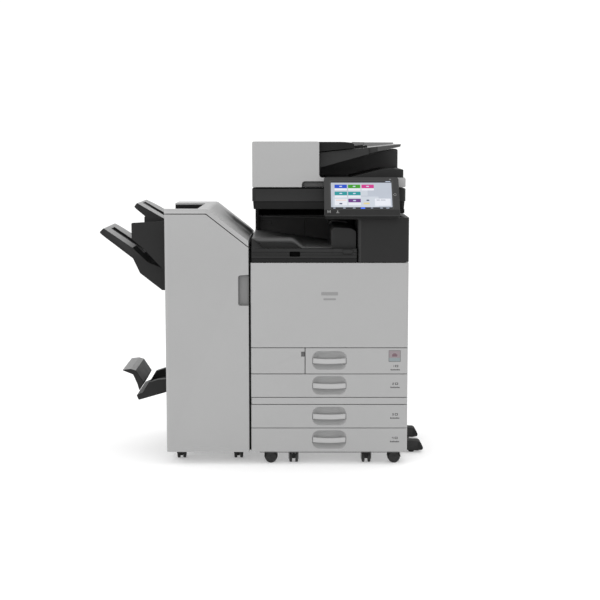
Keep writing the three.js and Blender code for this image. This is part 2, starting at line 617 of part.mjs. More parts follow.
const photocopier = new THREE.Group();
photocopier.name = 'photocopier';
photocopier.add(copier);

export default photocopier;
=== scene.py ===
import math

import bmesh
import bpy
from mathutils import Matrix, Vector


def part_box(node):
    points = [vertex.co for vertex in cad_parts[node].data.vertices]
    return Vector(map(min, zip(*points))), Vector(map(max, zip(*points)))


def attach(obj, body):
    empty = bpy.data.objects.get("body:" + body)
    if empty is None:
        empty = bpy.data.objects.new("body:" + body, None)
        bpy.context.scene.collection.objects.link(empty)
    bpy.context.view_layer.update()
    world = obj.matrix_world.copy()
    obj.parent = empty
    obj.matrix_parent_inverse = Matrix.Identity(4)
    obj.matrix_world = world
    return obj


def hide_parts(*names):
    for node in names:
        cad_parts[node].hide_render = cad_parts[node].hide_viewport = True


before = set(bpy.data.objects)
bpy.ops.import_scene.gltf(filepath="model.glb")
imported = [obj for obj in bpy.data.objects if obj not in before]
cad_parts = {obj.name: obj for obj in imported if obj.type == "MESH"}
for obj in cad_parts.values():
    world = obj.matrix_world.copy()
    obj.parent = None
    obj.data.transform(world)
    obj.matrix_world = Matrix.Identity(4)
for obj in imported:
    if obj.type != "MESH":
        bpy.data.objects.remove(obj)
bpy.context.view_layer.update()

# ---------------------------------------------------------------- places
# Lengths are millimetres. X = 0 is the middle of the main cabinet, Y = 0 its front face, Z = 0 the floor.
MM = 0.001
DOOR_LOW, DOOR_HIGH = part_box("front_door")
ORIGIN = Vector(((DOOR_LOW.x + DOOR_HIGH.x) / 2, DOOR_LOW.y, 0))


def at(x, y, z):
    return ORIGIN + Vector((x, y, z)) * MM


class Span:
    """The box of some CAD nodes at rest and its middle (x, y, z), in millimetres from the origin above."""

    def __init__(self, *nodes):
        lows, highs = zip(*(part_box(node) for node in nodes))
        low = [(min(c[i] for c in lows) - ORIGIN[i]) / MM for i in range(3)]
        high = [(max(c[i] for c in highs) - ORIGIN[i]) / MM for i in range(3)]
        self.x0, self.y0, self.z0 = low
        self.x1, self.y1, self.z1 = high
        self.x, self.y, self.z = ((a + b) / 2 for a, b in zip(low, high))


# ---------------------------------------------------------------- solids
PLACE = {
    "x": lambda a, b, t: (t, a, b),
    "y": lambda a, b, t: (a, t, b),
    "z": lambda a, b, t: (a, b, t),
}
ARC_STEPS = 8


def rounded(corners, steps=ARC_STEPS):
    """Corners (a, b) or (a, b, radius) as points, with each radius drawn as an arc."""
    points = []
    for i, (a, b, *rest) in enumerate(corners):
        corner = Vector((a, b))
        if not rest or not rest[0]:
            points.append(corner)
            continue
        back = (Vector(corners[i - 1][:2]) - corner).normalized()
        ahead = (Vector(corners[(i + 1) % len(corners)][:2]) - corner).normalized()
        half = back.angle(ahead) / 2
        centre = corner + (back + ahead).normalized() * rest[0] / math.sin(half)
        start = corner + back * rest[0] / math.tan(half) - centre
        end = corner + ahead * rest[0] / math.tan(half) - centre
        turn = (math.pi - 2 * half) * (1 if start.cross(end) > 0 else -1)
        points += [centre + Matrix.Rotation(turn * k / steps, 2) @ start for k in range(steps + 1)]
    return points


def box_outline(a0, a1, b0, b1, radius=0):
    return [(a0, b0, radius), (a1, b0, radius), (a1, b1, radius), (a0, b1, radius)]


def solid(bm, name="part"):
    bmesh.ops.recalc_face_normals(bm, faces=bm.faces)
    mesh = bpy.data.meshes.new(name)
    bm.to_mesh(mesh)
    bm.free()
    obj = bpy.data.objects.new(name, mesh)
    bpy.context.scene.collection.objects.link(obj)
    return obj


def loft(axis, rings):
    """A closed body through rings (points, place along the axis) with equal numbers of points."""
    bm = bmesh.new()
    loops = [[bm.verts.new(at(*PLACE[axis](a, b, t))) for a, b in points] for points, t in rings]
    for first, second in zip(loops, loops[1:]):
        for i in range(len(first)):
            j = (i + 1) % len(first)
            bm.faces.new((first[i], first[j], second[j], second[i]))
    bm.faces.new(loops[0])
    bm.faces.new(loops[-1])
    return solid(bm)


def prism(axis, corners, low, high, steps=ARC_STEPS):
    points = rounded(corners, steps)
    return loft(axis, [(points, low), (points, high)])


def block(x0, x1, y0, y1, z0, z1):
    return prism("z", box_outline(x0, x1, y0, y1), z0, z1)


def plate(axis, a0, a1, b0, b1, radius, low, high, steps=ARC_STEPS):
    """A slab with four corners of one radius."""
    return prism(axis, box_outline(a0, a1, b0, b1, radius), low, high, steps)


def circle(radius, a, b, sides):
    turns = [2 * math.pi * k / sides for k in range(sides)]
    return [(a + radius * math.cos(turn), b + radius * math.sin(turn)) for turn in turns]


def rod(axis, radius, low, high, a, b, sides=32):
    points = circle(radius, a, b, sides)
    return loft(axis, [(points, low), (points, high)])


def lathe(axis, profile, a, b, sides=48):
    """A turned body: the profile is (radius, place along the axis), both ends on the axis."""
    bm = bmesh.new()
    loops = []
    for radius, t in profile:
        ring = circle(radius, a, b, sides) if radius else [(a, b)]
        loops.append([bm.verts.new(at(*PLACE[axis](*point, t))) for point in ring])
    for first, second in zip(loops, loops[1:]):
        for k in range(sides):
            n = (k + 1) % sides
            ring = [loop[i % len(loop)] for loop, i in ((first, k), (first, n), (second, n), (second, k))]
            bm.faces.new(list(dict.fromkeys(ring)))
    return solid(bm)


def sheet(grid, thickness):
    """A plate over a grid of (x, y, z) points, its underside that far straight down."""
    bm = bmesh.new()
    top = [[bm.verts.new(at(x, y, z)) for x, y, z in row] for row in grid]
    under = [[bm.verts.new(at(x, y, z - thickness)) for x, y, z in row] for row in grid]
    rows, cols = len(grid), len(grid[0])
    for i in range(rows - 1):
        for j in range(cols - 1):
            bm.faces.new((top[i][j], top[i][j + 1], top[i + 1][j + 1], top[i + 1][j]))
            bm.faces.new((under[i][j], under[i + 1][j], under[i + 1][j + 1], under[i][j + 1]))
    edge = [(0, j) for j in range(cols - 1)] + [(i, cols - 1) for i in range(rows - 1)]
    edge += [(rows - 1, j) for j in range(cols - 1, 0, -1)] + [(i, 0) for i in range(rows - 1, 0, -1)]
    for (i, j), (k, l) in zip(edge, edge[1:] + edge[:1]):
        bm.faces.new((top[i][j], under[i][j], under[k][l], top[k][l]))
    return solid(bm)


def combine(operation, first, others):
    for other in others:
        step = first.modifiers.new("step", "BOOLEAN")
        step.operation = operation
        step.solver = "EXACT"
        step.object = other
    shape = first.evaluated_get(bpy.context.evaluated_depsgraph_get())
    mesh = bpy.data.meshes.new_from_object(shape)
    first.modifiers.clear()
    first.data = mesh
    for other in others:
        bpy.data.objects.remove(other)
    return first


def cut(first, *others):
    return combine("DIFFERENCE", first, others)


def join(first, *others):
    return combine("UNION", first, others)


def gather(first, *others):
    """Puts separate bodies into one object, without joining their surfaces."""
    bm = bmesh.new()
    for obj in (first, *others):
        bm.from_mesh(obj.data)
        if obj is not first:
            bpy.data.objects.remove(obj)
    bm.to_mesh(first.data)
    bm.free()
    return first


# ---------------------------------------------------------------- materials
GRAIN = 1500                    # scale of the fine grain of moulded plastic
CELLS = 850                     # and of its spark-eroded cells


def grey(level):
    """A linear grey from an sRGB level between 0 and 1."""
    linear = ((level + 0.055) / 1.055) ** 2.4 if level > 0.04 else level / 12.92
    return (linear, linear, linear, 1)


def colour(red, green, blue):
    return tuple(grey(level)[0] for level in (red, green, blue)) + (1,)


def scaled(base, factor):
    return tuple(min(1, c * factor) for c in base[:3]) + (1,)


class Shader:
    """A node tree being wired up for one material."""

    def __init__(self, name):
        self.material = bpy.data.materials.new(name)
        self.material.use_nodes = True
        self.tree = self.material.node_tree
        self.surface = self.tree.nodes["Principled BSDF"]
        self.place = self.node("TexCoord").outputs["Object"]

    def node(self, kind, **inputs):
        node = self.tree.nodes.new("ShaderNode" + kind)
        self.wire(node, **inputs)
        return node

    def wire(self, node, **inputs):
        """Links or sets a node's inputs; a _ in a name stands for a space."""
        for key, value in inputs.items():
            self.plug(node.inputs[key.replace("_", " ")], value)

    def plug(self, socket, value):
        if isinstance(value, bpy.types.NodeSocket):
            self.tree.links.new(value, socket)
        else:
            socket.default_value = value

    def set(self, **inputs):
        self.wire(self.surface, **inputs)

    def stretched(self, scale):
        return self.node("Mapping", Vector=self.place, Scale=scale).outputs["Vector"]

    def noise(self, scale, detail=3, source=None):
        node = self.node("TexNoise", Vector=source or self.place, Scale=scale, Detail=detail)
        return node.outputs["Fac"]

    def cells(self, scale):
        return self.node("TexVoronoi", Vector=self.place, Scale=scale).outputs["Distance"]

    def bands(self, direction, scale):
        node = self.node("TexWave", Vector=self.place, Scale=scale)
        node.bands_direction = direction
        return node.outputs["Fac"]

    def ramp(self, source, *stops):
        """A grey ramp through two stops (position, tone)."""
        node = self.node("ValToRGB", Fac=source)
        for element, (position, tone) in zip(node.color_ramp.elements, stops):
            element.position = position
            element.color = (tone, tone, tone, 1)
        return node.outputs["Color"]

    def mix(self, factor, a, b):
        node = self.node("Mix")
        node.data_type = "RGBA"
        for socket, value in ((0, factor), (6, a), (7, b)):
            self.plug(node.inputs[socket], value)
        return node.outputs[2]

    def math(self, operation, a, b):
        node = self.node("Math")
        node.operation = operation
        self.plug(node.inputs[0], a)
        self.plug(node.inputs[1], b)
        return node.outputs[0]

    def remap(self, value, low, high):
        """0 at low, 1 at high, eased and clamped between them."""
        node = self.node("MapRange", Value=value, From_Min=low, From_Max=high)
        node.interpolation_type = "SMOOTHSTEP"
        return node.outputs["Result"]

    def edges(self):
        """How much a place is a convex edge, from the mesh's own pointiness."""
        return self.ramp(self.node("NewGeometry").outputs["Pointiness"], (0.52, 0), (0.60, 1))

    def bump(self, height, strength, distance):
        node = self.node("Bump", Height=height, Strength=strength, Distance=distance * MM)
        self.set(Normal=node.outputs["Normal"])


def plastic(name, level, rough, grain=0.2, tint=(1, 1, 1), edge_wear_and_highlight=0.12, coat=0.0, gloss=0.5):
    """Moulded plastic: a spark-eroded grain, faint flecks, uneven gloss, and convex edges lightened, partly
    as rubbing and partly as a painted highlight.
    """
    s = Shader(name)
    base = tuple(c * t for c, t in zip(grey(level)[:3], tint)) + (1,)
    fine = s.noise(GRAIN, 2)
    tone = s.mix(s.ramp(s.noise(6, 2), (0.3, 0.0), (0.7, 1.0)), scaled(base, 0.98), scaled(base, 1.02))
    fleck = s.mix(s.ramp(fine, (0.35, 0.0), (0.65, 1.0)), scaled(base, 0.95), scaled(base, 1.05))
    body = s.mix(0.5, tone, fleck)
    # Convex edges lightened: partly rubbing, partly a painted highlight where edges catch the light.
    rubbed_and_highlit = s.mix(s.edges(), body, scaled(base, 1 + edge_wear_and_highlight))
    s.set(Base_Color=rubbed_and_highlit)
    s.set(Roughness=s.ramp(s.noise(35, 3), (0.3, rough - 0.04), (0.7, rough + 0.04)))
    s.bump(s.mix(0.5, fine, s.cells(CELLS)), grain, 0.1)
    s.set(Coat_Weight=coat, Coat_Roughness=0.12, Specular_IOR_Level=gloss)
    return s.material


def plastic_with_painted_shade(name, level, painted_shade_level, rough):
    """The slope of the finisher: light plastic with painted shade, darker low in its valley."""
    s = Shader(name)
    x, y = s.node("SeparateXYZ", Vector=s.place).outputs[:2]
    # Where the painted shade falls: low along the slope, between a front and a rear limit.
    along = s.remap(x, at(-432, 0, 0).x, at(-306, 0, 0).x)
    behind = s.remap(y, at(0, 562, 0).y, at(0, 536, 0).y)
    ahead = s.remap(y, at(0, 130, 0).y, at(0, 340, 0).y)
    strength = s.math("MINIMUM", s.math("MULTIPLY", along, 2.6), 1)
    painted_shade = s.math("MULTIPLY", s.math("MULTIPLY", behind, ahead), strength)
    grain = s.noise(GRAIN, 2)
    base = s.mix(painted_shade, grey(level), grey(painted_shade_level))
    s.set(Base_Color=s.mix(s.math("MULTIPLY", grain, 0.12), base, grey(level * 0.7)))
    s.set(Roughness=rough)
    s.bump(s.mix(0.5, grain, s.cells(CELLS)), 0.16, 0.1)
    return s.material


def ribbed_plastic(name, level, rough, direction, pitch, gloss=0.5):
    """A tray surface with fine moulded ribs across one axis."""
    s = Shader(name)
    base = grey(level)
    ribs = s.bands(direction, math.pi / 10 / (pitch * MM))
    # The rib grooves are painted darker and the crests lighter: painted shade and light following the ribs.
    s.set(Base_Color=s.mix(s.ramp(ribs, (0.2, 0.0), (0.8, 1.0)), scaled(base, 0.9), scaled(base, 1.05)))
    s.set(Roughness=rough, Specular_IOR_Level=gloss)
    s.bump(s.mix(0.15, ribs, s.noise(1400, 2)), 0.5, 0.4)
    return s.material


def metal(name, level, rough):
    s = Shader(name)
    base = grey(level)
    streaks = s.noise(1, 4, s.stretched((60, 60, 1100)))
    s.set(Base_Color=s.mix(streaks, scaled(base, 0.85), scaled(base, 1.08)))
    s.set(Roughness=s.ramp(streaks, (0.3, rough - 0.06), (0.7, rough + 0.06)))
    s.set(Metallic=1.0)
    s.bump(streaks, 0.12, 0.05)
    return s.material


def rubber(name, level):
    s = Shader(name)
    base = grey(level)
    dust = s.ramp(s.noise(90, 5), (0.45, 0.0), (0.75, 1.0))
    s.set(Base_Color=s.mix(dust, base, scaled(base, 1.7)))
    s.set(Roughness=0.75)
    s.bump(s.noise(900, 3), 0.3, 0.15)
    return s.material


def glass(name, tint):
    s = Shader(name)
    s.set(Base_Color=tint, Transmission_Weight=0.9, IOR=1.45)
    smears = s.noise(25, 4)
    s.set(Roughness=s.ramp(smears, (0.4, 0.03), (0.8, 0.08)))
    return s.material


def paper_edges(name):
    """The side of a stack of sheets: fine level lines."""
    s = Shader(name)
    lines = s.noise(1, 2, s.stretched((4, 4, 4200)))
    s.set(Base_Color=s.mix(lines, grey(0.78), grey(0.97)))
    s.set(Roughness=0.85)
    s.bump(lines, 0.4, 0.1)
    return s.material


def lit(name, tone, strength):
    """A lit patch of the touch screen, with the faint unevenness of its backlight."""
    s = Shader(name)
    s.set(Base_Color=(0.01, 0.01, 0.01, 1), Roughness=0.3, Specular_IOR_Level=0.1)
    clouds = s.noise(18, 2)
    s.set(Emission_Color=s.mix(clouds, scaled(tone, 0.94), scaled(tone, 1.06)), Emission_Strength=strength)
    return s.material


def ink(name, tone, rough=0.6):
    """Printing on a cover, with slightly uneven density."""
    s = Shader(name)
    s.set(Base_Color=s.mix(s.noise(600, 2), scaled(tone, 0.9), scaled(tone, 1.12)))
    s.set(Roughness=rough)
    return s.material


SLOT_PAINTS = {
    "light_cover": {
        "light": plastic("light_grey_plastic", 0.62, 0.5, 0.16),
        "light_top": plastic("light_grey_top", 0.63, 0.45, 0.16),
        # Painted shade low in the finisher slope's valley.
        "valley": plastic_with_painted_shade("light_grey_painted_valley_shade", 0.64, 0.12, 0.5),
        "pocket": plastic("pocket_plastic", 0.63, 0.5, 0.12),
        # Light grey brightened as painted light, for the feeder's end strip.
        "bright": plastic("light_grey_painted_light", 0.71, 0.5, 0.16),
        "grip": plastic("grip_plastic", 0.665, 0.45, 0.16),
        "sheet": plastic("white_sheet", 0.93, 0.5, 0.05),
        "paper": paper_edges("paper_stack"),
        "sticker": ink("sticker_paper", colour(0.53, 0.49, 0.505)),
        "sticker_low": ink("sticker_lower", colour(0.50, 0.54, 0.55)),
        "mark": ink("light_mark", grey(0.52)),
    },
    "tray_plastic": {
        "tip": plastic("tray_tip_plastic", 0.27, 0.5, 0.2, gloss=0.25),
        # Painted shade for the inner faces of the finisher door's hand pocket.
        "door_pocket": plastic("door_pocket_painted_shade", 0.46, 0.5, 0.12),
        "mid": plastic("mid_grey_plastic", 0.50, 0.45, 0.2, edge_wear_and_highlight=0.2),
        "tray": ribbed_plastic("ribbed_tray_plastic", 0.54, 0.42, "Y", 9),
        "tray_top": ribbed_plastic("ribbed_tray_top", 0.52, 0.45, "Y", 14),
        # Dark grey for real seams and slits, also used as painted shade in recesses and gaps and as a
        # painted light line on the cavity rim.
        "slit": plastic("slit_grey_and_painted_light", 0.36, 0.6, 0.1, gloss=0.2),
        "border": ink("sticker_border", grey(0.40), 0.5),
    },
    "dark_cover": {
        "dark": plastic("charcoal_plastic", 0.125, 0.5, 0.2, edge_wear_and_highlight=0.45, gloss=0.2),
        # Also serves as a painted highlight on the left corner of the upper right cover.
        "lifted": plastic("charcoal_plastic_light", 0.16, 0.5, 0.2, edge_wear_and_highlight=0.5, gloss=0.25),
        "deep": plastic("deep_charcoal_plastic", 0.095, 0.55, 0.2, edge_wear_and_highlight=0.5, gloss=0.15),
        "bed": ribbed_plastic("ribbed_dark_bed", 0.31, 0.5, "Y", 22, 0.3),
        # Charcoal lightened as painted light, for walls that sit in shade inside the cavities.
        "cavity": plastic("cavity_charcoal_painted_light", 0.20, 0.5, 0.2, edge_wear_and_highlight=0.3, gloss=0.3),
    },
    "black_plastic": {
        "bezel": plastic("bezel_plastic", 0.14, 0.36, 0.05, edge_wear_and_highlight=0.3, gloss=0.25),
        "black": plastic("black_plastic", 0.08, 0.5, 0.12, edge_wear_and_highlight=0.5, gloss=0.2),
        # Near-black as painted shade, for gaps, recesses and insides seen in shadow.
        "shade_black": plastic("painted_shade_black", 0.03, 0.8, 0.05, edge_wear_and_highlight=0.1, gloss=0.05),
        "gloss": plastic("gloss_black", 0.07, 0.2, 0.02, edge_wear_and_highlight=0.2, coat=0.3, gloss=0.3),
        "lever": plastic("green_lever", 0.5, 0.4, 0.1, (0.3, 1.2, 0.7)),
        "cyan": plastic("cyan_cap", 0.55, 0.4, 0.1, (0.1, 0.9, 1.6)),
        "magenta": plastic("magenta_cap", 0.5, 0.4, 0.1, (1.8, 0.15, 0.8)),
        "yellow": plastic("yellow_cap", 0.75, 0.4, 0.1, (1.4, 1.1, 0.1)),
        "matte": plastic("matte_black_plastic", 0.14, 0.7, 0.3, edge_wear_and_highlight=0.8, gloss=0.2),
        "ink": ink("dark_ink", grey(0.16)),
        "sticker_icon": ink("sticker_icon", colour(0.42, 0.33, 0.36)),
    },
    "frame_metal": {
        "frame": plastic("painted_frame", 0.6, 0.4, 0.06),
    },
    "fuser_metal": {
        "steel": metal("sheet_steel", 0.72, 0.36),
        "plate_ink": ink("badge_grey", grey(0.52), 0.4),
    },
    "caster_tread": {
        "tread": rubber("caster_rubber", 0.13),
    },
    "platen_glass": {
        "glass": glass("platen_glass_clear", (0.86, 0.93, 0.92, 1)),
    },
}
PAINTS = {key: (made, slot) for slot, paints in SLOT_PAINTS.items() for key, made in paints.items()}


def paint(obj, *names):
    if obj.data.materials:
        obj.data.materials.clear()
    for name in names:
        obj.data.materials.append(PAINTS[name][0])


SHARP = math.radians(32)        # edges turning more than this are bevelled


def soften(obj, bevel, segments):
    obj.data.polygons.foreach_set("use_smooth", [True] * len(obj.data.polygons))
    if bevel:
        soft = obj.modifiers.new("soft_edges", "BEVEL")
        soft.width = bevel * MM
        soft.segments = segments
        soft.limit_method = "ANGLE"
        soft.angle_limit = SHARP
    flat = obj.modifiers.new("flat_faces", "WEIGHTED_NORMAL")
    flat.keep_sharp = True


def piece(name, body, obj, finish, bevel=1.0, replaces=(), segments=3):
    """Names, paints and softens a shape, or several as one, and sets it on its CAD body."""
    if isinstance(obj, list):
        obj = gather(*obj)
    obj.name = name
    obj.data.name = name
    paint(obj, *([finish] if isinstance(finish, str) else finish))
    soften(obj, bevel, segments)
    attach(obj, body)
    if replaces:
        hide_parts(*replaces)
    return obj


def carry(node, finish, bevel=1.0):
    """Keeps a CAD node, with its edges softened and its own material."""
    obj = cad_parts[node]
    paint(obj, finish)
    weld = obj.modifiers.new("weld", "WELD")
    weld.merge_threshold = 0.01 * MM
    soften(obj, bevel, 2)


def two_tone(obj, test, index=1):
    """Gives the material of an index to the faces whose normal and centre (in mm) pass a test."""
    for face in obj.data.polygons:
        if test(face.normal, (face.center - ORIGIN) / MM):
            face.material_index = index


def plan_plate(box, x0, x1, y0, y1, left, right):
    """A face plate with rounded front corners, over the height of a box."""
    return prism("z", [(x0, y0, left), (x1, y0, right), (x1, y1), (x0, y1)], box.z0, box.z1)


CORNER = 12                     # plan radius of the right front corners
LEFT_CORNER = 7                 # and of the left ones, beside the finisher
FLANK = 25.5                    # thickness of the covers' side walls


# ---------------------------------------------------------------- main cabinet
def front_door():
    door = Span("front_door")
    skin = plan_plate(door, door.x0, door.x1, 0, door.y1, LEFT_CORNER, CORNER)
    hollow = block(door.x0 + FLANK, door.x1 - FLANK, 5, door.y1 + 1, door.z0 + 14, door.z1 - 14)
    shell = cut(skin, hollow)
    piece("front_door_skin", "front_door", shell, "light", 1.6, ["front_door"])
    ribs = [block(x - 1, x + 1, 4.5, 21, door.z0 + 14, door.z1 - 14) for x in range(-210, 211, 70)]
    ribs += [block(door.x0 + 25, door.x1 - 25, 4.6, 18, z - 1, z + 1) for z in range(510, 740, 55)]
    piece("front_door_ribs", "front_door", ribs, "light", 0.4)
    latches = [block(x - 9, x + 9, door.y1 - 3, door.y1 + 6, door.z1 - 13, door.z1 - 6)
               for x in (-235, 235)]
    latches += [rod("x", 3.5, x - 14, x + 14, door.y1 - 7, door.z0 + 5) for x in (-250, 250)]
    piece("front_door_latches", "front_door", latches, "black", 0.8)
    badge = [
        plate("y", -31, 31, 643, 655, 2, -0.5, 0.5, 4),
        plate("y", -23, 23, 625, 632, 1.5, -0.4, 0.5, 4),
    ]
    piece("front_door_badge", "front_door", badge, "plate_ink", 0.2)


BOTTLES = {"yellow": -196, "magenta": -102, "cyan": -8, "black": 86}    # place of each along X
BOTTLE_Z = 692
RACK_WINDOW = (-226, 122, 478, 560)
FUSER_WINDOW = (178, 240, 600, 724)


def inset(a0, a1, b0, b1, gap):
    return a0 + gap, a1 - gap, b0 + gap, b1 - gap


def inner_cover():
    """Behind the front door: the inner cover, four toner bottles, and the handles of rack and fuser."""
    face = block(-274, 248, 46, 52, 458, 748)
    holes = [rod("y", 31, 40, 60, x, BOTTLE_Z) for x in BOTTLES.values()]
    rack_window = plate("y", *RACK_WINDOW, 10, 40, 60)
    fuser_window = plate("y", *FUSER_WINDOW, 8, 40, 60)
    piece("inner_cover", "cabinet", cut(face, *holes, rack_window, fuser_window), "deep", 1.2)
    cap_and_body = [(0, 41), (19, 41), (21, 43), (21, 50), (28, 51), (28, 420), (24, 430), (0, 430)]
    for tone, x in BOTTLES.items():
        piece(f"toner_bottle_{tone}", "cabinet", lathe("y", cap_and_body, x, BOTTLE_Z), tone, 0.6)
        grip = block(x - 16, x + 16, 37.5, 42, BOTTLE_Z - 3, BOTTLE_Z + 3)
        piece(f"toner_grip_{tone}", "cabinet", grip, "black", 1)
    rack_face = plate("y", *inset(*RACK_WINDOW, 4), 8, 40, 62)
    pull = plate("y", -90, -14, 502, 536, 6, 34, 50)
    piece("rack_face", "cabinet", cut(rack_face, pull), "dark", 1.2)
    bar = plate("x", 42, 50, 512, 526, 3, -92, -12)
    piece("rack_handle", "cabinet", bar, "lever", 0.5)
    fuser_face = plate("y", *inset(*FUSER_WINDOW, 3), 6, 42, 70)
    piece("fuser_face", "cabinet", fuser_face, "steel", 1.2)
    lever = join(block(204, 214, 38, 44, 622, 700), rod("y", 9, 37.5, 44, 209, 700))
    piece("fuser_lever", "cabinet", lever, "lever", 1)


def waste_cover():
    cover = Span("waste_toner_cover")
    skin = plan_plate(cover, cover.x0, cover.x1, 0, cover.y1, LEFT_CORNER, 1.5)
    recess = block(cover.x1 - 13, cover.x1 + 1, -2, 7, 413, 431)
    hollow = block(cover.x0 + 22, cover.x1 - 22, 5, 40, cover.z0 + 10, cover.z1 - 10)
    shell = cut(skin, recess, hollow)
    piece("waste_cover_skin", "waste_toner_cover", shell, "light", 1.2, ["waste_toner_cover"])
    latch = plate("y", cover.x1 - 12.4, cover.x1 - 0.8, 413.8, 430.2, 1, 2.5, 7)
    piece("waste_cover_latch", "waste_toner_cover", latch, "slit", 0.5)
    bottle = plate("y", -258, -104, 360, 428, 12, 52, 380)
    neck = rod("y", 13, 44, 56, -140, 402)
    piece("waste_toner_bottle", "cabinet", join(bottle, neck), "mid", 3)


def side_door():
    door = Span("right_door")
    carry("right_door", "light", 1.6)
    carry("bypass_tray", "light", 1.4)
    y, z, x = door.y0, door.z1, door.x1
    lever = plate("x", y + 14, y + 64, z - 40, z - 22, 4, x - 5, x - 0.4)
    piece("side_door_lever", "right_door", lever, "dark", 1)
    pads = [rod("x", 4, door.x1 - 2, door.x1 - 0.3, y, z)
            for y in (door.y0 + 12, door.y1 - 12) for z in (290, 430)]
    piece("side_door_caps", "right_door", pads, "light", 0.5)
    bypass = Span("bypass_tray")
    ribs = [block(bypass.x0 - 1.8, bypass.x0 + 1, y - 1, y + 1, 480, 640) for y in range(130, 460, 40)]
    piece("bypass_ribs", "bypass_tray", ribs, "light", 0.4)
    for name, y in (("front", 165), ("rear", 415)):
        guide = block(bypass.x0 - 2.6, bypass.x0 + 1, y - 5, y + 5, 500, 600)
        piece(f"bypass_guide_{name}", "bypass_tray", guide, "dark", 0.8)


def rear_cover():
    cover = Span("rear_cover")
    carry("rear_cover", "light", 1.2)
    carry("left_cover", "light", 1.0)
    head = [(0, 0.6), (4, 0.6), (4.6, 1.4), (4.6, 3), (0, 3)]
    head = [(radius, cover.y1 - depth) for radius, depth in head]
    screws = [lathe("y", head, x, z, 20)
              for x in (-270, 0, 270) for z in (cover.z0 + 16, 560, cover.z1 - 16)]
    piece("rear_screws", "cabinet", screws, "steel", 0)
    label = plate("y", -190, -110, 290, 340, 3, cover.y1 - 1, cover.y1 - 0.15, 4)
    piece("rear_blank_label", "cabinet", label, "sheet", 0.1)
    ports = [plate("y", x, x + 16, 420, 434, 1, cover.y1 - 2, cover.y1 - 0.2, 3)
             for x in (-260, -236, -212)]
    piece("rear_ports", "cabinet", ports, "gloss", 0.3)
    dust = [block(62, 238, cover.y1 - 11.2, cover.y1 - 10.4, z, z + 6) for z in range(620, 734, 18)]
    piece("rear_dust_filter", "cabinet", dust, "black", 0)
    seams = [block(-276, 276, cover.y1 - 1.4, cover.y1 - 0.1, z, z + 1.6) for z in (350, 590)]
    piece("rear_seams", "cabinet", seams, "slit", 0)
    knockout = plate("y", 150, 230, 380, 400, 4, cover.y1 - 1.6, cover.y1 - 0.2, 4)
    piece("rear_cable_cap", "cabinet", knockout, "mid", 0.4)


def right_upper_cover():
    cover = Span("right_upper_cover")
    plan = [(cover.x0, 0, 14), (cover.x1, 0, CORNER), (cover.x1, cover.y1, 6), (cover.x1 - FLANK, cover.y1),
            (cover.x1 - FLANK, 26), (cover.x0 + 5, 26), (cover.x0 + 5, 495), (cover.x0, 495)]
    body = prism("z", plan, cover.z0, cover.z1)
    # Painted highlight: the left front corner band takes the lighter charcoal, standing in for light
    # falling on it.
    two_tone(body, lambda n, c: n.x < -0.2 and n.y < -0.1 and c.x < cover.x0 + 15)
    piece("right_upper_skin", "cabinet", body, ["dark", "lifted"], 2.2, ["right_upper_cover"])
    top = block(cover.x0 + 6, cover.x1 - 3, 27, cover.y1 - 2, cover.z1 - 3.4, cover.z1 - 1.2)
    piece("right_upper_top", "cabinet", cut(top, block(cover.x0, 282.5, 92, 640, 900, 940)), "shade_black", 0.6)


# ---------------------------------------------------------------- in-body exit tray
def smooth(t):
    t = max(0.0, min(1.0, t))
    return t * t * (3 - 2 * t)


RAIL_TOP = 816


def bed_height(x, depth):
    """Height of the paper bed: stepped along its front edge, an even slope along its back edge."""
    front = 852 - 33 * smooth((x + 145) / 58) - 3 * smooth((x + 87) / 180)
    back = 857 - 43 * (x + 289) / 300
    across = smooth((depth - 0.12) / 0.5)
    return front + (back - front) * across


def exit_tray():
    """The grooved front rail, the curved paper bed behind it and the swept corner on its left."""
    tray = Span("exit_tray")
    left = tray.x0 + 1
    grid = []
    for i in range(57):
        x = left + i * 7
        grid.append([(x, 38 + j * 20, bed_height(x, j / 23)) for j in range(24)])
    piece("exit_tray_bed", "cabinet", sheet(grid, 16), "bed", 0, ["exit_tray"])
    crest = [(left + 4 + i * 7, bed_height(left + 4 + i * 7, 0) - 0.4) for i in range(41)]
    skirt = prism("y", [(left + 4, 800), *crest, (crest[-1][0], 800)], 38.6, 44)
    piece("exit_tray_skirt", "cabinet", skirt, "dark", 0.8)
    plan = [(tray.x0, 0, LEFT_CORNER), (101, 0, 4), (101, 41), (tray.x0, 41)]
    rail = prism("z", plan, 781, RAIL_TOP)
    # Painted shade: the rail's lower strip takes the deeper charcoal, standing in for the shade of a
    # set-back lower part.
    base = prism("z", [(x, max(y, 1.2), *rest) for x, y, *rest in plan], tray.z0, 780.4)
    piece("exit_tray_rail_base", "cabinet", base, "deep", 1.2)
    groove = block(-300, 110, -3, 3.5, 801, 803.4)
    groove_low = block(-300, 110, -3, 3, 792.4, 794.4)
    seam = block(8, 10, -3, 3, 797, 830)
    grip = plate("y", -149, -109, 787, 806, 4, -3, 16)
    notch = prism("y", [(48, 796, 2), (88, 796, 8), (88, 815, 8), (48, 815, 2)], -3, 9)
    piece("exit_tray_rail", "cabinet", cut(rail, groove, groove_low, seam, grip, notch), "dark", 1.0)
    # Painted shade: the grip recess has a near-black floor.
    piece("exit_tray_grip_floor", "cabinet", block(-147, -111, 12, 15, 788, 805), "shade_black", 0.5)
    piece("exit_tray_notch_floor", "cabinet", block(49, 87, 4, 8.4, 797, 814), "dark", 0.5)
    swept_corner(left)
    bridge_block()
    cavity_walls()


